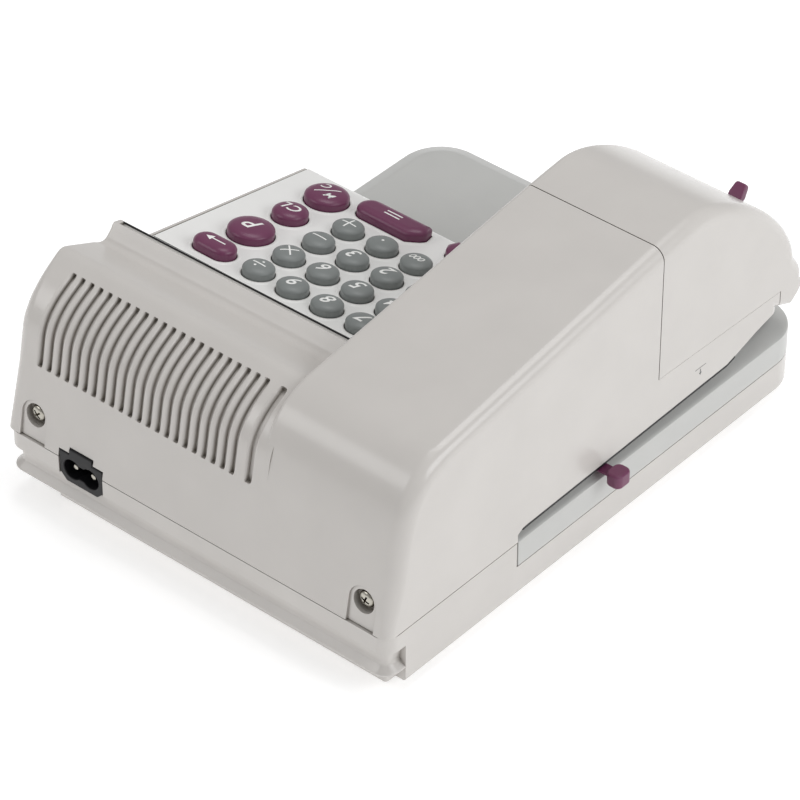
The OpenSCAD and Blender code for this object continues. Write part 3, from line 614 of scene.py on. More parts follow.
# %% Tray body, low walls and stepped back
LOW = FOOT + 12.6
tray = plan_form("tray", slab(LEFT, RIGHT, FRONT, BACK, 18, 6), [(FOOT, 0.9), (FOOT + 0.9, 0), (SEAM - 0.15, 0)])
hollow = slab(LEFT + 4.8, RIGHT - 4.8, FRONT + 4.8, BACK - 6.2, 13, 1)
tray = cut(tray, plan_form("tray_hollow", hollow, [(FOOT + WALL, 0), (SEAM + 5, 0)]))
tray = cut(tray, block("low_front", (LEFT - 1, FRONT - 1, LOW), (RIGHT + 1, BAY_Y + 8.3, SEAM + 1)))
tray = cut(tray, block("low_side", (LEFT - 1, FRONT - 1, LOW), (INNER + 6, SLOT_END + 0.3, SEAM + 1)))
band = [(FOOT + 17.5, 0.0), (FOOT + 16.4, 0.0), (FOOT + 16.0, 1.5), (FOOT + 15.4, 2.2), (FOOT + 10.4, 2.9),
        (FOOT + 9.2, 2.7),
        (FOOT + 8.0, 1.6), (FOOT + 7.2, 0.5), (FOOT + 6.8, 0.15), (FOOT + 6.4, 0.1), (FOOT + 5.9, 0.45),
        (FOOT + 5.6, 1.2), (FOOT + 5.5, 4.6), (FOOT - 2, 4.6)]
round_back = plan_form("round_back", slab(LEFT, RIGHT, FRONT, BACK, 18, 6), band)
band_zone = block("band_zone", (LEFT - 3, BACK - 9.5, FOOT - 1), (RIGHT + 3, BACK + 3, FOOT + 16.5))
tray = cut(tray, cut(band_zone, round_back))
corner = block("raised_corner", (RIGHT - 21, BACK - 12, FOOT - 1), (RIGHT + 2, BACK + 2, FOOT + 5.6))
tray = join(tray, block("corner_floor", (RIGHT - 22, BACK - 14, FOOT + 5.6), (RIGHT - 4, BACK - 5, FOOT + 7.6)))
tray = cut(tray, corner)
tray = cut(tray, inlet_body("opening", 0.25, BACK - 17, BACK + 5))
print("tray:", len(tray.data.polygons), "faces")


# %% [markdown]
# ## The grey cheque table
# The table is a thin plate with a wide soft bevel all round and a skirt that stands on the tray's low wall. The
# bevel is made of rings that shrink as they rise, with small radii at its two bends.

# %% Table plates and skirt
def table_part(name, x1, y1):
    levels = [(LOW + 0.3, 0.0), (SEAM - 0.6, 0.0), (SEAM - 0.1, 0.08), (SEAM + 0.25, 0.45), (SEAM + 0.55, 1.1),
              (TABLE - 0.75, 5.1), (TABLE - 0.3, 6.2), (TABLE - 0.08, 7.2), (TABLE, 8.6)]
    rings = []
    for z, inset in levels:
        far_side = x1 if x1 < RIGHT else RIGHT - inset
        ring = slab(LEFT + inset, far_side, FRONT + inset, y1, 18 - inset * 0.8, 0.5, 14)
        rings.append([(a, b, z) for a, b in ring])
    return closed_body(name, rings)


table = table_part("table", RIGHT, BAY_Y + 8)
table = join(table, table_part("table_side", INNER + 6, SLOT_END - 0.3))
hollow = slab(LEFT + WALL, RIGHT - WALL, FRONT + WALL, BACK, 15.6, 1)
table = cut(table, plan_form("table_hollow", hollow, [(LOW, 0), (SEAM - 0.8, 0)]))
for node, near, far in (("pressure_roller", 26.5, 38.5), ("pinch_roller", 18.5, 47)):
    low, high = box_mm(node)
    middle_y, r = (low[1] + high[1]) / 2, (high[2] - low[2]) / 2
    half = math.sqrt(r * r - (r - 2.8) ** 2) + 1
    window = block("window", (LEFT + near - 1, middle_y - half, SEAM - 3),
                   (LEFT + far + 1, middle_y + half, TABLE + 2))
    table = cut(table, window)
print("table:", len(table.data.polygons), "faces")


# %% [markdown]
# ## The keypad panel
# A paler plate carries the keys. Every key stands in a hole with a low raised rim, and the rims, the holes and
# the keys all come from one list of outlines, so nothing can drift apart.

# %% Key outlines
PITCH_X, PITCH_V = 16.35, 16.54
KEY_TOP = 4.6
names = ["7", "8", "9", "divide", "4", "5", "6", "times", "1", "2", "3", "minus", "0", "000", "point", "plus",
         "back", "print", "clear", "memory", "enter", "equals"]
first_x, plum_x = 90 - 94.5, 90 - 24.3
front_v = -3 * PITCH_V - 17.7
key_at = {}
for i in range(16):
    key_at[names[i]] = (first_x + (i % 4) * PITCH_X, -(i // 4) * PITCH_V, 6.05, 6.05)
key_at["back"] = (plum_x, 0, 9, 5.2)
key_at["print"] = (plum_x, -PITCH_V - 3.1, 8.9, 8.9)
key_at["clear"] = (plum_x - 0.2, -2 * PITCH_V - 8, 6.9, 6.9)
key_at["memory"] = (plum_x, -3 * PITCH_V - 12.4, 8.6, 8.6)
key_at["enter"] = (first_x + 3.4, front_v, 13.5, 5.6)
key_at["equals"] = (90 - 51.9, front_v, 15.8, 5.6)


def key_loop(name, grow=0.0):
    """Outline of a key in x and v, counter-clockwise."""
    x, v, half, r = key_at[name]
    if half == r:
        return arc(x, v, r + grow, 0, 352.5, 47)
    right, left = arc(x + half - r, v, r + grow, -90, 90, 24), arc(x - half + r, v, r + grow, 90, 270, 24)
    h, w = r + grow, half + grow
    if name == "equals":
        left = [(x - w + 5.2, v + h), (x - w + 1.2, v + h * 0.32), (x - w, v - h * 0.1), (x - w + 1.4, v - h)]
    if name == "enter":
        right = [(x + w - 1.4, v - h), (x + w, v - h * 0.1), (x + w - 1.2, v + h * 0.32), (x + w - 5.2, v + h)]
    return right + left


print("keys", len(key_at), "front row at", round(front_v, 2))

# %% Panel with rims and holes
pad_left, pad_right = INNER - 1.4, RIGHT - WALL - 0.1
PANEL_T = 2.2
pad_skin = [tuple(face_top), tuple(face_foot), (face_foot[0] - 0.6, face_foot[1] - 0.32),
            (face_foot[0] - 1.4, panel_z(face_foot[0] - 1.4))]
pad_skin += [(BAY_Y + 4, panel_z(BAY_Y + 4))]
pad_skin += curve((BAY_Y + 4, panel_z(BAY_Y + 4)), (BAY_Y + 1.4, panel_z(BAY_Y + 1.4)),
                  (BAY_Y, panel_z(BAY_Y) - 1.2), (BAY_Y, panel_z(BAY_Y) - 4), 8)
pad_skin += [(BAY_Y, TABLE + 0.3)]
pad_inner = [tuple(p) for p in shrink(pad_skin, PANEL_T, False)]
pad = side_form("pad", pad_skin + pad_inner[::-1], pad_left, pad_right, 0, lambda y, z: 0.12, 1)
lower_hood(pad)
rims, holes = [], []
rim_levels = [(-1.0, -1.85), (0.0, -1.85), (0.12, -1.65), (0.28, -1.25), (0.35, -0.9), (0.35, 0.4)]
for name in names:
    rims.append(plan_form("rim", key_loop(name), rim_levels, on_panel))
    holes.append(plan_form("hole", key_loop(name), [(-6, -0.35), (3, -0.35)], on_panel))
for rim in rims:
    pad = join(pad, rim)
for hole in holes:
    pad = cut(pad, hole)
print("panel:", len(pad.data.polygons), "faces")

# %% Display opening in the panel
face_tilt = math.atan2(face_top[1] - face_foot[1], face_top[0] - face_foot[0])
face_len = float(np.linalg.norm(face_top - face_foot))


def on_face(x, s, h):
    """A point of the display face: x across, s up the face, h in front of it."""
    return (MIDDLE + x, face_foot[0] + s * math.cos(face_tilt) - h * math.sin(face_tilt),
            face_foot[1] + s * math.sin(face_tilt) + h * math.cos(face_tilt))


def face_slab(name, x0, x1, s0, s1, h0, h1, r=0.5):
    return closed_body(name, [[on_face(a, b, h) for a, b in slab(x0, x1, s0, s1, r, r, 4)] for h in (h0, h1)])


window_mid = (pad_left + 1.7 + pad_right) / 2 - MIDDLE
pad = cut(pad, face_slab("window_hole", window_mid - 46, window_mid + 46, 3.5, face_len - 4.5, -4, 3, 1.2))
print("display face", round(face_len, 1), "mm high, tilted", round(math.degrees(face_tilt), 1))


# %% [markdown]
# ## Keys
# Each key is one moulding: a flange that holds it under the panel, a straight side and a domed top. The dome is
# a superellipse, so one formula gives both the round edge and the flat middle, and the printed legend can ask
# the same formula how high the key is below each of its points.

# %% Dome formula and key bodies
PLUM = {"back", "print", "clear", "memory", "enter", "equals"}
SIDE_TOP = 2.4


def dome(name, f):
    """Height over the panel at the share f of the way in from the key's edge."""
    power, top = (3.6, KEY_TOP + 0.3) if name in PLUM else (2.8, KEY_TOP)
    f = min(max(f, 0.0), 1.0)
    return SIDE_TOP + (top - SIDE_TOP) * (1 - (1 - f) ** power) ** 0.5


def share_in(name, x, v):
    cx, cv, half, r = key_at[name]
    along = max(abs(x - cx) - (half - r), 0.0)
    return 1 - math.hypot(along, v - cv) / r


key_pieces = {}
for name in names:
    r = key_at[name][3]
    steps = [0, 0.008, 0.025, 0.055, 0.1, 0.16, 0.24, 0.34, 0.47, 0.62, 0.78, 0.93]
    levels = [(-3.9, -1.1), (-2.8, -1.1), (-2.8, 0.06), (-0.5, 0.03), (SIDE_TOP, 0.0)]
    levels += [(dome(name, f), f * r) for f in steps[1:] if f < 0.7 or name not in ("equals", "enter")]
    piece = plan_form("cap_" + name, key_loop(name), levels, on_panel)
    soften(piece, 0, 50)
    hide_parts("key_" + name)
    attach(piece, "key_" + name)
    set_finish(piece, "plum_plastic" if name in PLUM else "key_plastic")
    key_pieces[name] = piece
print("key caps", len(key_pieces))


# %% [markdown]
# ## Legends
# The figures and signs are printed on the keys, so each is a very thin skin of its own, laid on the dome. The
# figures come from Blender's own font; the signs are drawn as strokes of one width, as an engraver draws them.

# %% Helpers for printed legends
def drape(name, bm, place, thickness=0.035):
    """Gives a flat drawing (millimetres) a small thickness and lays it on the surface that place() describes."""
    bmesh.ops.remove_doubles(bm, verts=bm.verts, dist=0.002)
    for _ in range(4):
        long = [e for e in bm.edges if e.calc_length() > 0.8]
        if not long:
            break
        bmesh.ops.subdivide_edges(bm, edges=long, cuts=1)
    bmesh.ops.triangulate(bm, faces=bm.faces)
    flat = bm.faces[:]
    made = bmesh.ops.extrude_face_region(bm, geom=flat)
    for v in [g for g in made["geom"] if isinstance(g, bmesh.types.BMVert)]:
        v.co.z += 1
    for v in bm.verts:
        x, y, z = place(v.co.x, v.co.y, thickness if v.co.z > 0.5 else -0.03)
        v.co = (x * 0.001, y * 0.001, z * 0.001)
    bmesh.ops.recalc_face_normals(bm, faces=bm.faces)
    mesh = bpy.data.meshes.new(name)
    bm.to_mesh(mesh)
    bm.free()
    piece = add_object(name, mesh)
    return piece


def lettering(text, height, shear=0.3, spacing=1.0):
    """Flat drawing of a short text, its middle at the origin, in millimetres."""
    font = bpy.data.curves.new("lettering", "FONT")
    font.body, font.size, font.resolution_u, font.shear, font.space_character = text, 1.0, 4, shear, spacing
    font.offset = 0.012
    holder = add_object("lettering", font)
    bpy.context.view_layer.update()
    mesh = bpy.data.meshes.new_from_object(holder.evaluated_get(bpy.context.evaluated_depsgraph_get()))
    bm = bmesh.new()
    bm.from_mesh(mesh)
    bpy.data.objects.remove(holder)
    co = np.array([v.co for v in bm.verts])
    low, high = co.min(0), co.max(0)
    k = height / (high[1] - low[1])
    for v in bm.verts:
        v.co = ((v.co.x - (low[0] + high[0]) / 2) * k, (v.co.y - (low[1] + high[1]) / 2) * k, 0)
    return bm


def strokes(polygons):
    bm = bmesh.new()
    for loop in polygons:
        bm.faces.new([bm.verts.new((a, b, 0)) for a, b in loop])
    return bm


def bar(x0, y0, x1, y1, w):
    d = np.array([x1 - x0, y1 - y0], float)
    d /= np.linalg.norm(d)
    n = np.array([-d[1], d[0]]) * w / 2
    a, b = np.array([x0, y0]), np.array([x1, y1])
    return [tuple(a - n), tuple(b - n), tuple(b + n), tuple(a + n)]


def cross(half, w, turn=0.0):
    h, k = half, w / 2
    pts = [(k, k), (k, h), (-k, h), (-k, k), (-h, k), (-h, -k), (-k, -k), (-k, -h), (k, -h), (k, -k), (h, -k), (h, k)]
    c, s = math.cos(math.radians(turn)), math.sin(math.radians(turn))
    return [(a * c - b * s, a * s + b * c) for a, b in pts]


def dot(x, y, r):
    return arc(x, y, r, 0, 337.5, 15)


def arrow(length, w, head):
    h = length / 2
    return [(-h, -w / 2), (h - head, -w / 2), (h - head, -head * 0.55), (h, 0), (h - head, head * 0.55),
            (h - head, w / 2), (-h, w / 2)]


signs = {
    "divide": [bar(-2.9, 0, 2.9, 0, 0.6), dot(0.4, 1.9, 0.5), dot(-0.4, -1.9, 0.5)],
    "times": [cross(3.5, 0.6, 45)],
    "minus": [bar(-3.2, 0, 3.2, 0, 0.6)],
    "plus": [cross(3.3, 0.6)],
    "point": [dot(0, 0, 0.55)],
    "back": [arrow(9.2, 0.6, 3.0)],
    "equals": [bar(-3.6, 1.0, 3.6, 1.0, 0.65), bar(-3.6, -1.0, 3.6, -1.0, 0.65)],
    "enter": [[(2.6, 2.0), (2.6, -0.3), (-1.0, -0.3), (-1.0, -1.4), (-3.0, 0), (-1.0, 1.4), (-1.0, 0.3),
               (2.0, 0.3), (2.0, 2.0)]],
}
words = {"print": ("P", 6.8), "clear": ("CL", 4.8), "000": ("000", 3.0)}
print("signs", len(signs))

# %% Legends laid on the keys
legend_pieces = []
for name in names:
    cx, cv = key_at[name][0], key_at[name][1]

    def on_key(a, b, h, name=name, cx=cx, cv=cv):
        return on_panel(cx + a, cv + b, dome(name, share_in(name, cx + a, cv + b)) + h)

    if name in signs:
        drawings = [strokes(signs[name])]
    elif name == "memory":
        drawings = [lettering("M", 3.3), lettering("C", 3.6), strokes([bar(-3.6, -3.6, 3.6, 3.6, 0.5)])]
        for v in drawings[0].verts:
            v.co.x, v.co.y = v.co.x - 3.0, v.co.y + 2.5
        for v in drawings[1].verts:
            v.co.x, v.co.y = v.co.x + 2.7, v.co.y - 2.4
    else:
        text, height = words.get(name, (name, 5.7))
        drawings = [lettering(text, height, spacing=1.2 if name == "clear" else 0.95)]
    for i, drawing in enumerate(drawings):
        piece = drape(f"legend_{name}_{i}" if i else f"legend_{name}", drawing, on_key)
        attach(piece, "key_" + name)
        legend_pieces.append(piece)
print("legends", len(legend_pieces))


# %% [markdown]
# ## The mains inlet
# A black socket with two pins in a figure-eight well. Its mouth is cut from the same two circles that the pins
# stand in, and the small nose between the circles keeps the plug the right way up.

# %% Socket body, well and pins
PIN_GAP, PIN_Z = 8.6, SEAM - 3.2
socket = inlet_body("socket", 0, BACK - 14, BACK - 0.25)
well = rod_y("well_a", INLET_X - PIN_GAP / 2, PIN_Z, 4.1, BACK - 11.5, BACK + 2)
well = join(well, rod_y("well_b", INLET_X + PIN_GAP / 2, PIN_Z, 4.1, BACK - 11.5, BACK + 2))
well = join(well, block("well_c", (INLET_X - 3.6, BACK - 11.5, PIN_Z - 2.9), (INLET_X + 3.6, BACK + 2, PIN_Z + 2.9)))
socket = cut(socket, well)
soften(socket, 0.45)
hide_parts("power_inlet")
pins = []
for side in (-1, 1):
    rings = []
    for y, r in ((BACK - 24, 1.2), (BACK - 2.6, 1.2), (BACK - 2.1, 1.1), (BACK - 1.9, 0.8), (BACK - 1.85, 0.3)):
        rings.append(ring_y(INLET_X + side * PIN_GAP / 2, y, PIN_Z, r, 15))
    pins.append(closed_body("pin", rings))
pin_pair = gather("inlet_pin_pair", pins)
soften(pin_pair, 0, 40)
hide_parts("inlet_pins")
for piece, slot in ((socket, "black_plastic"), (pin_pair, "nickel")):
    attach(piece, "case")
    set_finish(piece, slot)
print("inlet faces", len(socket.data.polygons))


# %% [markdown]
# ## Rear screws
# Two pan-head screws with a cross recess. The head is a low dome, and the recess is two crossed wedges, deepest
# in the middle, as the punch leaves it.

# %% Screw heads with a cross recess
heads = []
for side in (-1, 1):
    x, y0 = MIDDLE + side * SCREW_X, wall_y(SCREW_Z) - 3.4
    rings = []
    for y, r in ((-16, 1.4), (0, 1.4), (0, 3.25), (0.9, 3.3), (1.35, 3.1), (1.75, 2.6), (2.05, 1.8), (2.2, 0.9),
                 (2.22, 0.2)):
        rings.append(ring_y(x, y0 + y, SCREW_Z, r, 9))
    head = closed_body("screw", rings)
    turn = math.radians(20 if side < 0 else 50)
    for k in (0, 1):
        a = turn + k * math.pi / 2
        c, s = math.cos(a), math.sin(a)
        wedge = []
        for y, l, w in ((y0 + 0.5, 0.5, 0.25), (y0 + 1.2, 1.5, 0.3), (y0 + 3, 2.3, 0.42)):
            corners = ((l, -w), (l, w), (-l, w), (-l, -w))
            wedge.append([(x + p * c - q * s, y, SCREW_Z + p * s + q * c) for p, q in corners])
        head = cut(head, closed_body("wedge", wedge))
    heads.append(head)
screws = gather("rear_screw_pair", heads)
soften(screws, 0.08, 30)
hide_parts("rear_screws")
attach(screws, "case")
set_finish(screws, "nickel")
print("screw faces", len(screws.data.polygons))


# %% [markdown]
# ## The sliding cheque guide
# A plum grip stands outside the slot and sets how far a cheque goes in. It is a flat stem with a short
# upright thumb piece, rounded on its outer side.

# %% Guide slider
guide_low, guide_high = box_mm("guide_slider")
GRIP_Y = (guide_low[1] + guide_high[1]) / 2
rail_low, rail_high = box_mm("guide_rail")
RAIL_X, RAIL_Z = (rail_low[0] + rail_high[0]) / 2, (rail_low[2] + rail_high[2]) / 2
guide = block("guide_body", (RAIL_X - 4, GRIP_Y - 6, TABLE + 6.6), (RAIL_X + 4, GRIP_Y + 6, RAIL_Z + 4))
guide = join(guide, block("web", (LEFT + 3.4, GRIP_Y - 3, TABLE + 0.5), (LEFT + 6.4, GRIP_Y + 3, TABLE + 6.7)))
guide = cut(guide, rod_y("rail_hole", RAIL_X, RAIL_Z, 2.06, GRIP_Y - 9, GRIP_Y + 9))
stem_loop = slab(guide_low[0] + 3, RAIL_X + 20, GRIP_Y - 2.5, GRIP_Y + 2.5, 0.5, 0.5, 3)
guide = join(guide, closed_body("stem", [[(a, b, z) for a, b in stem_loop] for z in (TABLE + 0.4, TABLE + 1.1)]))
thumb = []
for z, inset in ((-2.6, 0.9), (-2.35, 0.35), (-1.9, 0.05), (-1.6, 0.0), (2.3, 0.0), (2.8, 0.15), (3.1, 0.5),
                 (3.2, 1.0)):
    loop = shrink(slab(guide_low[0] + 0.2, guide_low[0] + 6.8, GRIP_Y - 3.9, GRIP_Y + 3.9, 2.4, 2.4, 6), inset)
    thumb.append([(a, b, TABLE + z) for a, b in loop])
guide = join(guide, closed_body("thumb", thumb))
soften(guide, 0.25)
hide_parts("guide_slider")
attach(guide, "guide")
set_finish(guide, "plum_plastic")
print("guide faces", len(guide.data.polygons))


# %% [markdown]
# ## Two dark strips
# A thin black strip along the top edge of the cheque slot is painted shadow: it stands in for the deep shade
# under the housing's edge. A black gasket closes the joint between the hood's lip and the top of the display face.

# %% Painted slot shadow strip and gasket
edge_line = [(SLOT_END - 2.6, TABLE + 1.9), (SLOT_END - 5.4, TABLE + 2.1), (NOSE_Y + 30.8, TABLE + 4.6),
             (NOSE_Y + 26.1, TABLE + 5.9)]
# Painted shadow: a black strip under the slot's top edge, where the inside of the slot lies in shade.
strip = side_form("painted_slot_shadow_strip", [(y, z - 0.75) for y, z in edge_line] + [(y, z + 0.15) for y, z in edge_line[::-1]],
                  LEFT - 0.12, LEFT + 0.9)
gasket_line = [tuple(face_top + q) for q in ([0.55, -1.0], [0.0, -1.0], [0.05, -0.05], [0.35, 0.15], [0.75, 0.0])]
gasket = side_form("hood_gasket", gasket_line, pad_left + 2.5, RIGHT - 1.5)
lower_hood(gasket)
for piece in (strip, gasket):
    soften(piece, 0.08)
    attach(piece, "case")
    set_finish(piece, "black_plastic")


# %% [markdown]
# ## Edges of the big mouldings
# The shells are finished, so their cut edges are broken now, and each takes its place in the machine.

# %% Edges, bodies and slots
for piece, node, body, slot, width in (
        (housing, "top_housing", "case", "body_plastic", 0.3), (cover, "print_cover", "cover", "body_plastic", 0.3),
        (tray, "base_tray", "case", "body_plastic", 0.35), (table, "cheque_table", "case", "grey_plastic", 0.3),
        (pad, "keypad_cover", "case", "panel_plastic", 0.22)):
    soften(piece, width)
    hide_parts(node)
    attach(piece, body)
    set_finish(piece, slot)
housing.name, cover.name, tray.name, table.name, pad.name = (
    "housing_shell", "print_cover_shell", "tray_shell", "table_shell", "keypad_shell")


# %% [markdown]
# ## The print line mark
# A small arrow is pad-printed on the side, a little behind the drum. It is a thin skin of ink.

# %% Arrow on the side of the housing
drum_low, drum_high = box_mm("drum_gear")
PRINT_Y = (drum_low[1] + drum_high[1]) / 2 + 19.0


def on_side(a, b, h):
    return (LEFT - h, PRINT_Y - a, TABLE + 11.3 + b)


down_arrow = [(-0.25, 1.2), (-0.25, -0.4), (-0.8, -0.4), (0, -1.6), (0.8, -0.4), (0.25, -0.4), (0.25, 1.2)]
mark = drape("print_mark", strokes([down_arrow, bar(-3.2, 1.9, 3.2, 1.9, 0.28)]), on_side, 0.02)
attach(mark, "case")
print("mark at y", round(PRINT_Y, 1))


# %% [markdown]
# ## Finishes
# Moulded plastic is never one flat colour. Each finish below has a very fine grain from the spark-eroded mould,
# slow changes of tone where the melt cooled, and a roughness that wanders a little, so that highlights break up
# softly. Rubber, sheet steel, nickel, felt and acetal follow the same plan with their own scales.

# %% Procedural finishes
def finish(name, colour, rough, grain=0.25, grain_size=0.45, mottle=0.02, metallic=0.0, coat=0.0,
           stretch=(1, 1, 1), specular=0.5, painted_crease_shade=0.0):
    mat = bpy.data.materials.new(name)
    mat.use_nodes = True
    nodes, links = mat.node_tree.nodes, mat.node_tree.links
    shader = nodes["Principled BSDF"]
    shader.inputs["Metallic"].default_value = metallic
    shader.inputs["Coat Weight"].default_value = coat
    shader.inputs["Coat Roughness"].default_value = 0.15
    shader.inputs["Specular IOR Level"].default_value = specular
    where = nodes.new("ShaderNodeTexCoord")
    mapping = nodes.new("ShaderNodeMapping")
    mapping.inputs["Scale"].default_value = stretch
    links.new(where.outputs["Object"], mapping.inputs["Vector"])

    def noise(size_mm, detail):
        n = nodes.new("ShaderNodeTexNoise")
        n.inputs["Scale"].default_value = 1000 / size_mm
        n.inputs["Detail"].default_value = detail
        links.new(mapping.outputs["Vector"], n.inputs["Vector"])
        return n

    tone = nodes.new("ShaderNodeValToRGB")
    tone.color_ramp.elements[0].position, tone.color_ramp.elements[1].position = 0.3, 0.7
    tone.color_ramp.elements[0].color = [c * (1 - mottle) for c in colour] + [1]
    tone.color_ramp.elements[1].color = [min(1, c * (1 + mottle)) for c in colour] + [1]
    links.new(noise(22, 3).outputs["Fac"], tone.inputs["Fac"])
    # Painted shade: an ambient-occlusion node darkens the base colour towards a warm brown in creases, grooves, wells
    # and seams, where shade falls.
    if painted_crease_shade:
        hollow = nodes.new("ShaderNodeAmbientOcclusion")
        hollow.inputs["Distance"].default_value, hollow.samples = 0.003, 8
        deep = nodes.new("ShaderNodeValToRGB")
        deep.color_ramp.elements[0].position, deep.color_ramp.elements[1].position = 0.25, 0.8
        deep.color_ramp.elements[0].color = (1 - painted_crease_shade, 1 - painted_crease_shade * 1.04, 1 - painted_crease_shade * 1.1, 1)
        deep.color_ramp.elements[1].color = (1, 1, 1, 1)
        mix = nodes.new("ShaderNodeMix")
        mix.data_type, mix.blend_type = "RGBA", "MULTIPLY"
        mix.inputs["Factor"].default_value = 1
        links.new(hollow.outputs["AO"], deep.inputs["Fac"])
        links.new(tone.outputs["Color"], mix.inputs["A"])
        links.new(deep.outputs["Color"], mix.inputs["B"])
        links.new(mix.outputs["Result"], shader.inputs["Base Color"])
    else:
        links.new(tone.outputs["Color"], shader.inputs["Base Color"])
    wander = nodes.new("ShaderNodeMapRange")
    wander.inputs["To Min"].default_value, wander.inputs["To Max"].default_value = rough * 0.86, rough * 1.14
    links.new(noise(3.5, 4).outputs["Fac"], wander.inputs["Value"])
    links.new(wander.outputs["Result"], shader.inputs["Roughness"])
    bump = nodes.new("ShaderNodeBump")
    bump.inputs["Strength"].default_value = grain
    bump.inputs["Distance"].default_value = 0.00004
    links.new(noise(grain_size, 2).outputs["Fac"], bump.inputs["Height"])
    links.new(bump.outputs["Normal"], shader.inputs["Normal"])
    return mat


# The shells, the table, the panel and the screws carry painted shade in their creases (the AO darkening in finish).
finishes = {
    "body_plastic": finish("moulded_off_white", (0.565, 0.54, 0.515), 0.22, grain=0.1, painted_crease_shade=0.6),
    "panel_plastic": finish("moulded_near_white", (0.82, 0.815, 0.80), 0.33, grain=0.1, painted_crease_shade=0.6),
    "grey_plastic": finish("moulded_light_grey", (0.50, 0.50, 0.485), 0.3, grain=0.2, painted_crease_shade=0.5),
    "key_plastic": finish("key_grey", (0.205, 0.22, 0.215), 0.42, grain=0.5, grain_size=0.3),
    "plum_plastic": finish("key_plum", (0.145, 0.032, 0.085), 0.36, grain=0.4, grain_size=0.3),
    "legend": finish("legend_white", (0.86, 0.86, 0.84), 0.5, grain=0.2),
    "mark": finish("mark_grey", (0.12, 0.12, 0.12), 0.6),
    "black_plastic": finish("socket_black", (0.006, 0.006, 0.007), 0.42, grain=0.3, specular=0.3),
    "nickel": finish("nickel_plate", (0.45, 0.43, 0.38), 0.24, grain=0.3, grain_size=0.25, metallic=1.0, painted_crease_shade=0.85),
    "foot_rubber": finish("foot_rubber", (0.46, 0.45, 0.43), 0.7, grain=0.6),
    "steel": finish("zinc_steel", (0.55, 0.56, 0.57), 0.38, grain=0.5, grain_size=0.6, metallic=1.0,
                    stretch=(0.2, 1, 1), mottle=0.08),
    "dark_plastic": finish("moulded_dark", (0.035, 0.035, 0.04), 0.5, grain=0.5),
    "gear_plastic": finish("acetal", (0.72, 0.69, 0.60), 0.4, grain=0.2),
    "drum": finish("type_drum_dark", (0.09, 0.09, 0.10), 0.35, grain=0.6, metallic=0.6),
    "ink_foam": finish("ink_felt", (0.015, 0.015, 0.035), 0.9, grain=1.0, grain_size=1.2),
    "roller_rubber": finish("roller_rubber", (0.025, 0.025, 0.025), 0.75, grain=0.8),
    "circuit_board": finish("circuit_board", (0.03, 0.16, 0.07), 0.35, grain=0.5, grain_size=1.5, mottle=0.15,
                            coat=0.4),
    "lamination": finish("sheet_dark", (0.16, 0.16, 0.17), 0.45, grain=0.7, metallic=0.8, mottle=0.1),
    "display": finish("display_dark", (0.03, 0.035, 0.03), 0.2, grain=0.1),
    "key_rubber": finish("silicone", (0.66, 0.64, 0.58), 0.6, grain=0.5),
}
glass = finish("smoked_window", (0.02, 0.03, 0.025), 0.06, grain=0.0)
glass.node_tree.nodes["Principled BSDF"].inputs["Alpha"].default_value = 0.72
finishes["window"] = glass
print("finishes", len(finishes))


# %% [markdown]
# ## Giving every piece its finish
# New pieces take the finish of their slot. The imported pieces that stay, such as the frame plates, rollers and
# gears inside, keep their exact shape; they get the finish of their slot and a fine edge radius.

# %% Assign finishes
def paint(piece, mat):
    piece.data.materials.clear()
    piece.data.materials.append(mat)


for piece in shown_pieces():
    if "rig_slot" in piece:
        paint(piece, finishes[piece["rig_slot"]])
for piece in legend_pieces:
    paint(piece, finishes["legend"])
paint(mark, finishes["mark"])
slot_of = {s["node"]: s["material_slot"] for s in frame["record"]["subparts"]}
kept = [o for name, o in frame["nodes"].items() if not o.hide_render]
for node in kept:
    paint(node, finishes[slot_of[node["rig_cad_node"]]])
    node.data.shade_smooth()
    node.data.set_sharp_from_angle(angle=math.radians(30))
    edge = node.modifiers.new("edge radius", "BEVEL")
    edge.width, edge.segments, edge.limit_method, edge.angle_limit = 0.00012, 2, "ANGLE", math.radians(50)


# %% [markdown]
# ## Floor, light and camera
# The machine stands on a plain white floor in a soft studio: a wide light overhead, a large weak one on the
# slot side and a broad one behind, so the round back gets its long highlight. The camera stands high behind
# the machine, on the printer's side, with a long lens.

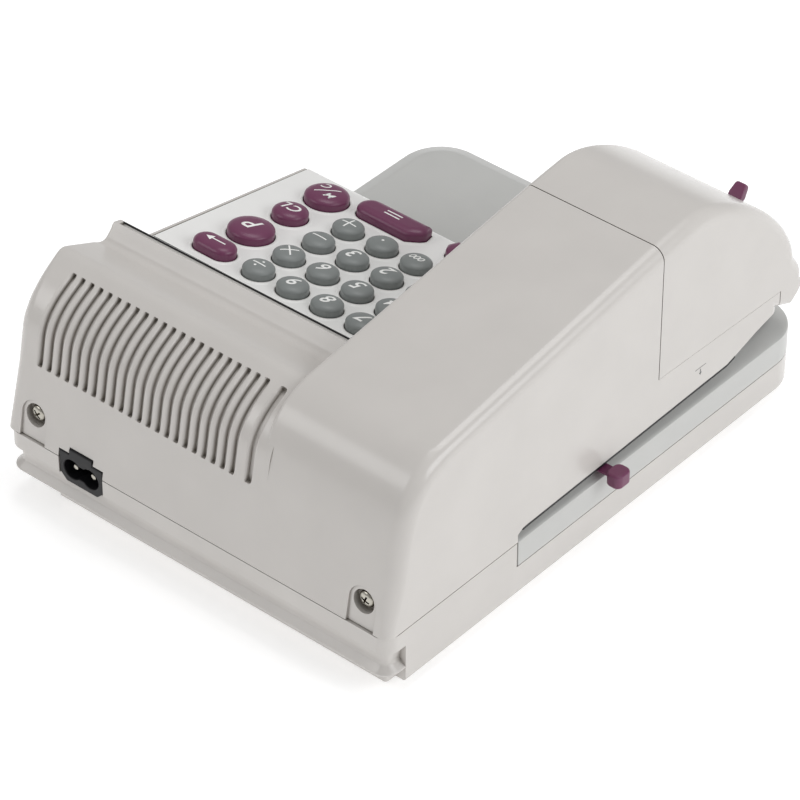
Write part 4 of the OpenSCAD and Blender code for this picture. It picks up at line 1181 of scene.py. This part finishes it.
# %% Floor, lights, camera
floor_mesh = bpy.data.meshes.new("floor")
floor_mesh.from_pydata([(-6, -6, 0), (6, -6, 0), (6, 6, 0), (-6, 6, 0)], [], [(0, 1, 2, 3)])
floor = add_object("floor", floor_mesh)
table_light = finish("studio_floor", (0.86, 0.86, 0.86), 0.8, grain=0.0, mottle=0.0)
table_light.node_tree.nodes["Principled BSDF"].inputs["Emission Color"].default_value = (1, 1, 1, 1)
table_light.node_tree.nodes["Principled BSDF"].inputs["Emission Strength"].default_value = 0.42
paint(floor, table_light)
world = bpy.data.worlds.new("studio")
world.use_nodes = True
world.node_tree.nodes["Background"].inputs["Color"].default_value = (1.0, 1.0, 1.0, 1)
world.node_tree.nodes["Background"].inputs["Strength"].default_value = 0.42
bpy.context.scene.world = world
bpy.context.scene.view_settings.view_transform = "Standard"


def soft_light(name, place, target, size, watts, tint=(1, 1, 1)):
    lamp = bpy.data.lights.new(name, "AREA")
    lamp.shape, lamp.size, lamp.size_y, lamp.energy, lamp.color = "RECTANGLE", size[0], size[1], watts, tint
    obj = add_object(name, lamp)
    obj.location = place
    obj.rotation_euler = (Vector(target) - Vector(place)).to_track_quat("-Z", "Y").to_euler()
    return obj


soft_light("overhead", (0.0, -0.3, 1.3), (0, 0, 0), (0.9, 0.6), 5.6)
soft_light("slot_side", (-1.2, -0.2, 0.8), (0, 0, 0.05), (0.9, 0.7), 7.2, (0.97, 0.985, 1.0))
soft_light("behind", (0.72, 0.9, 0.86), (0, 0.05, 0.06), (0.8, 0.5), 3.2)

AZIMUTH, ELEVATION = math.radians(220.586), math.radians(38.538)
toward = Vector((math.sin(AZIMUTH) * math.cos(ELEVATION), -math.cos(AZIMUTH) * math.cos(ELEVATION),
                 math.sin(ELEVATION)))
camera_data = bpy.data.cameras.new("camera")
camera_data.sensor_width, camera_data.lens = 36.0, 198.3
camera_data.clip_start, camera_data.clip_end = 0.05, 50
camera = add_object("camera", camera_data)
camera.location = (-0.8112, 0.9602, 1.0190)
camera.rotation_euler = (-toward).to_track_quat("-Z", "Y").to_euler()
bpy.context.scene.camera = camera
print("camera at", [round(c, 3) for c in camera.location])
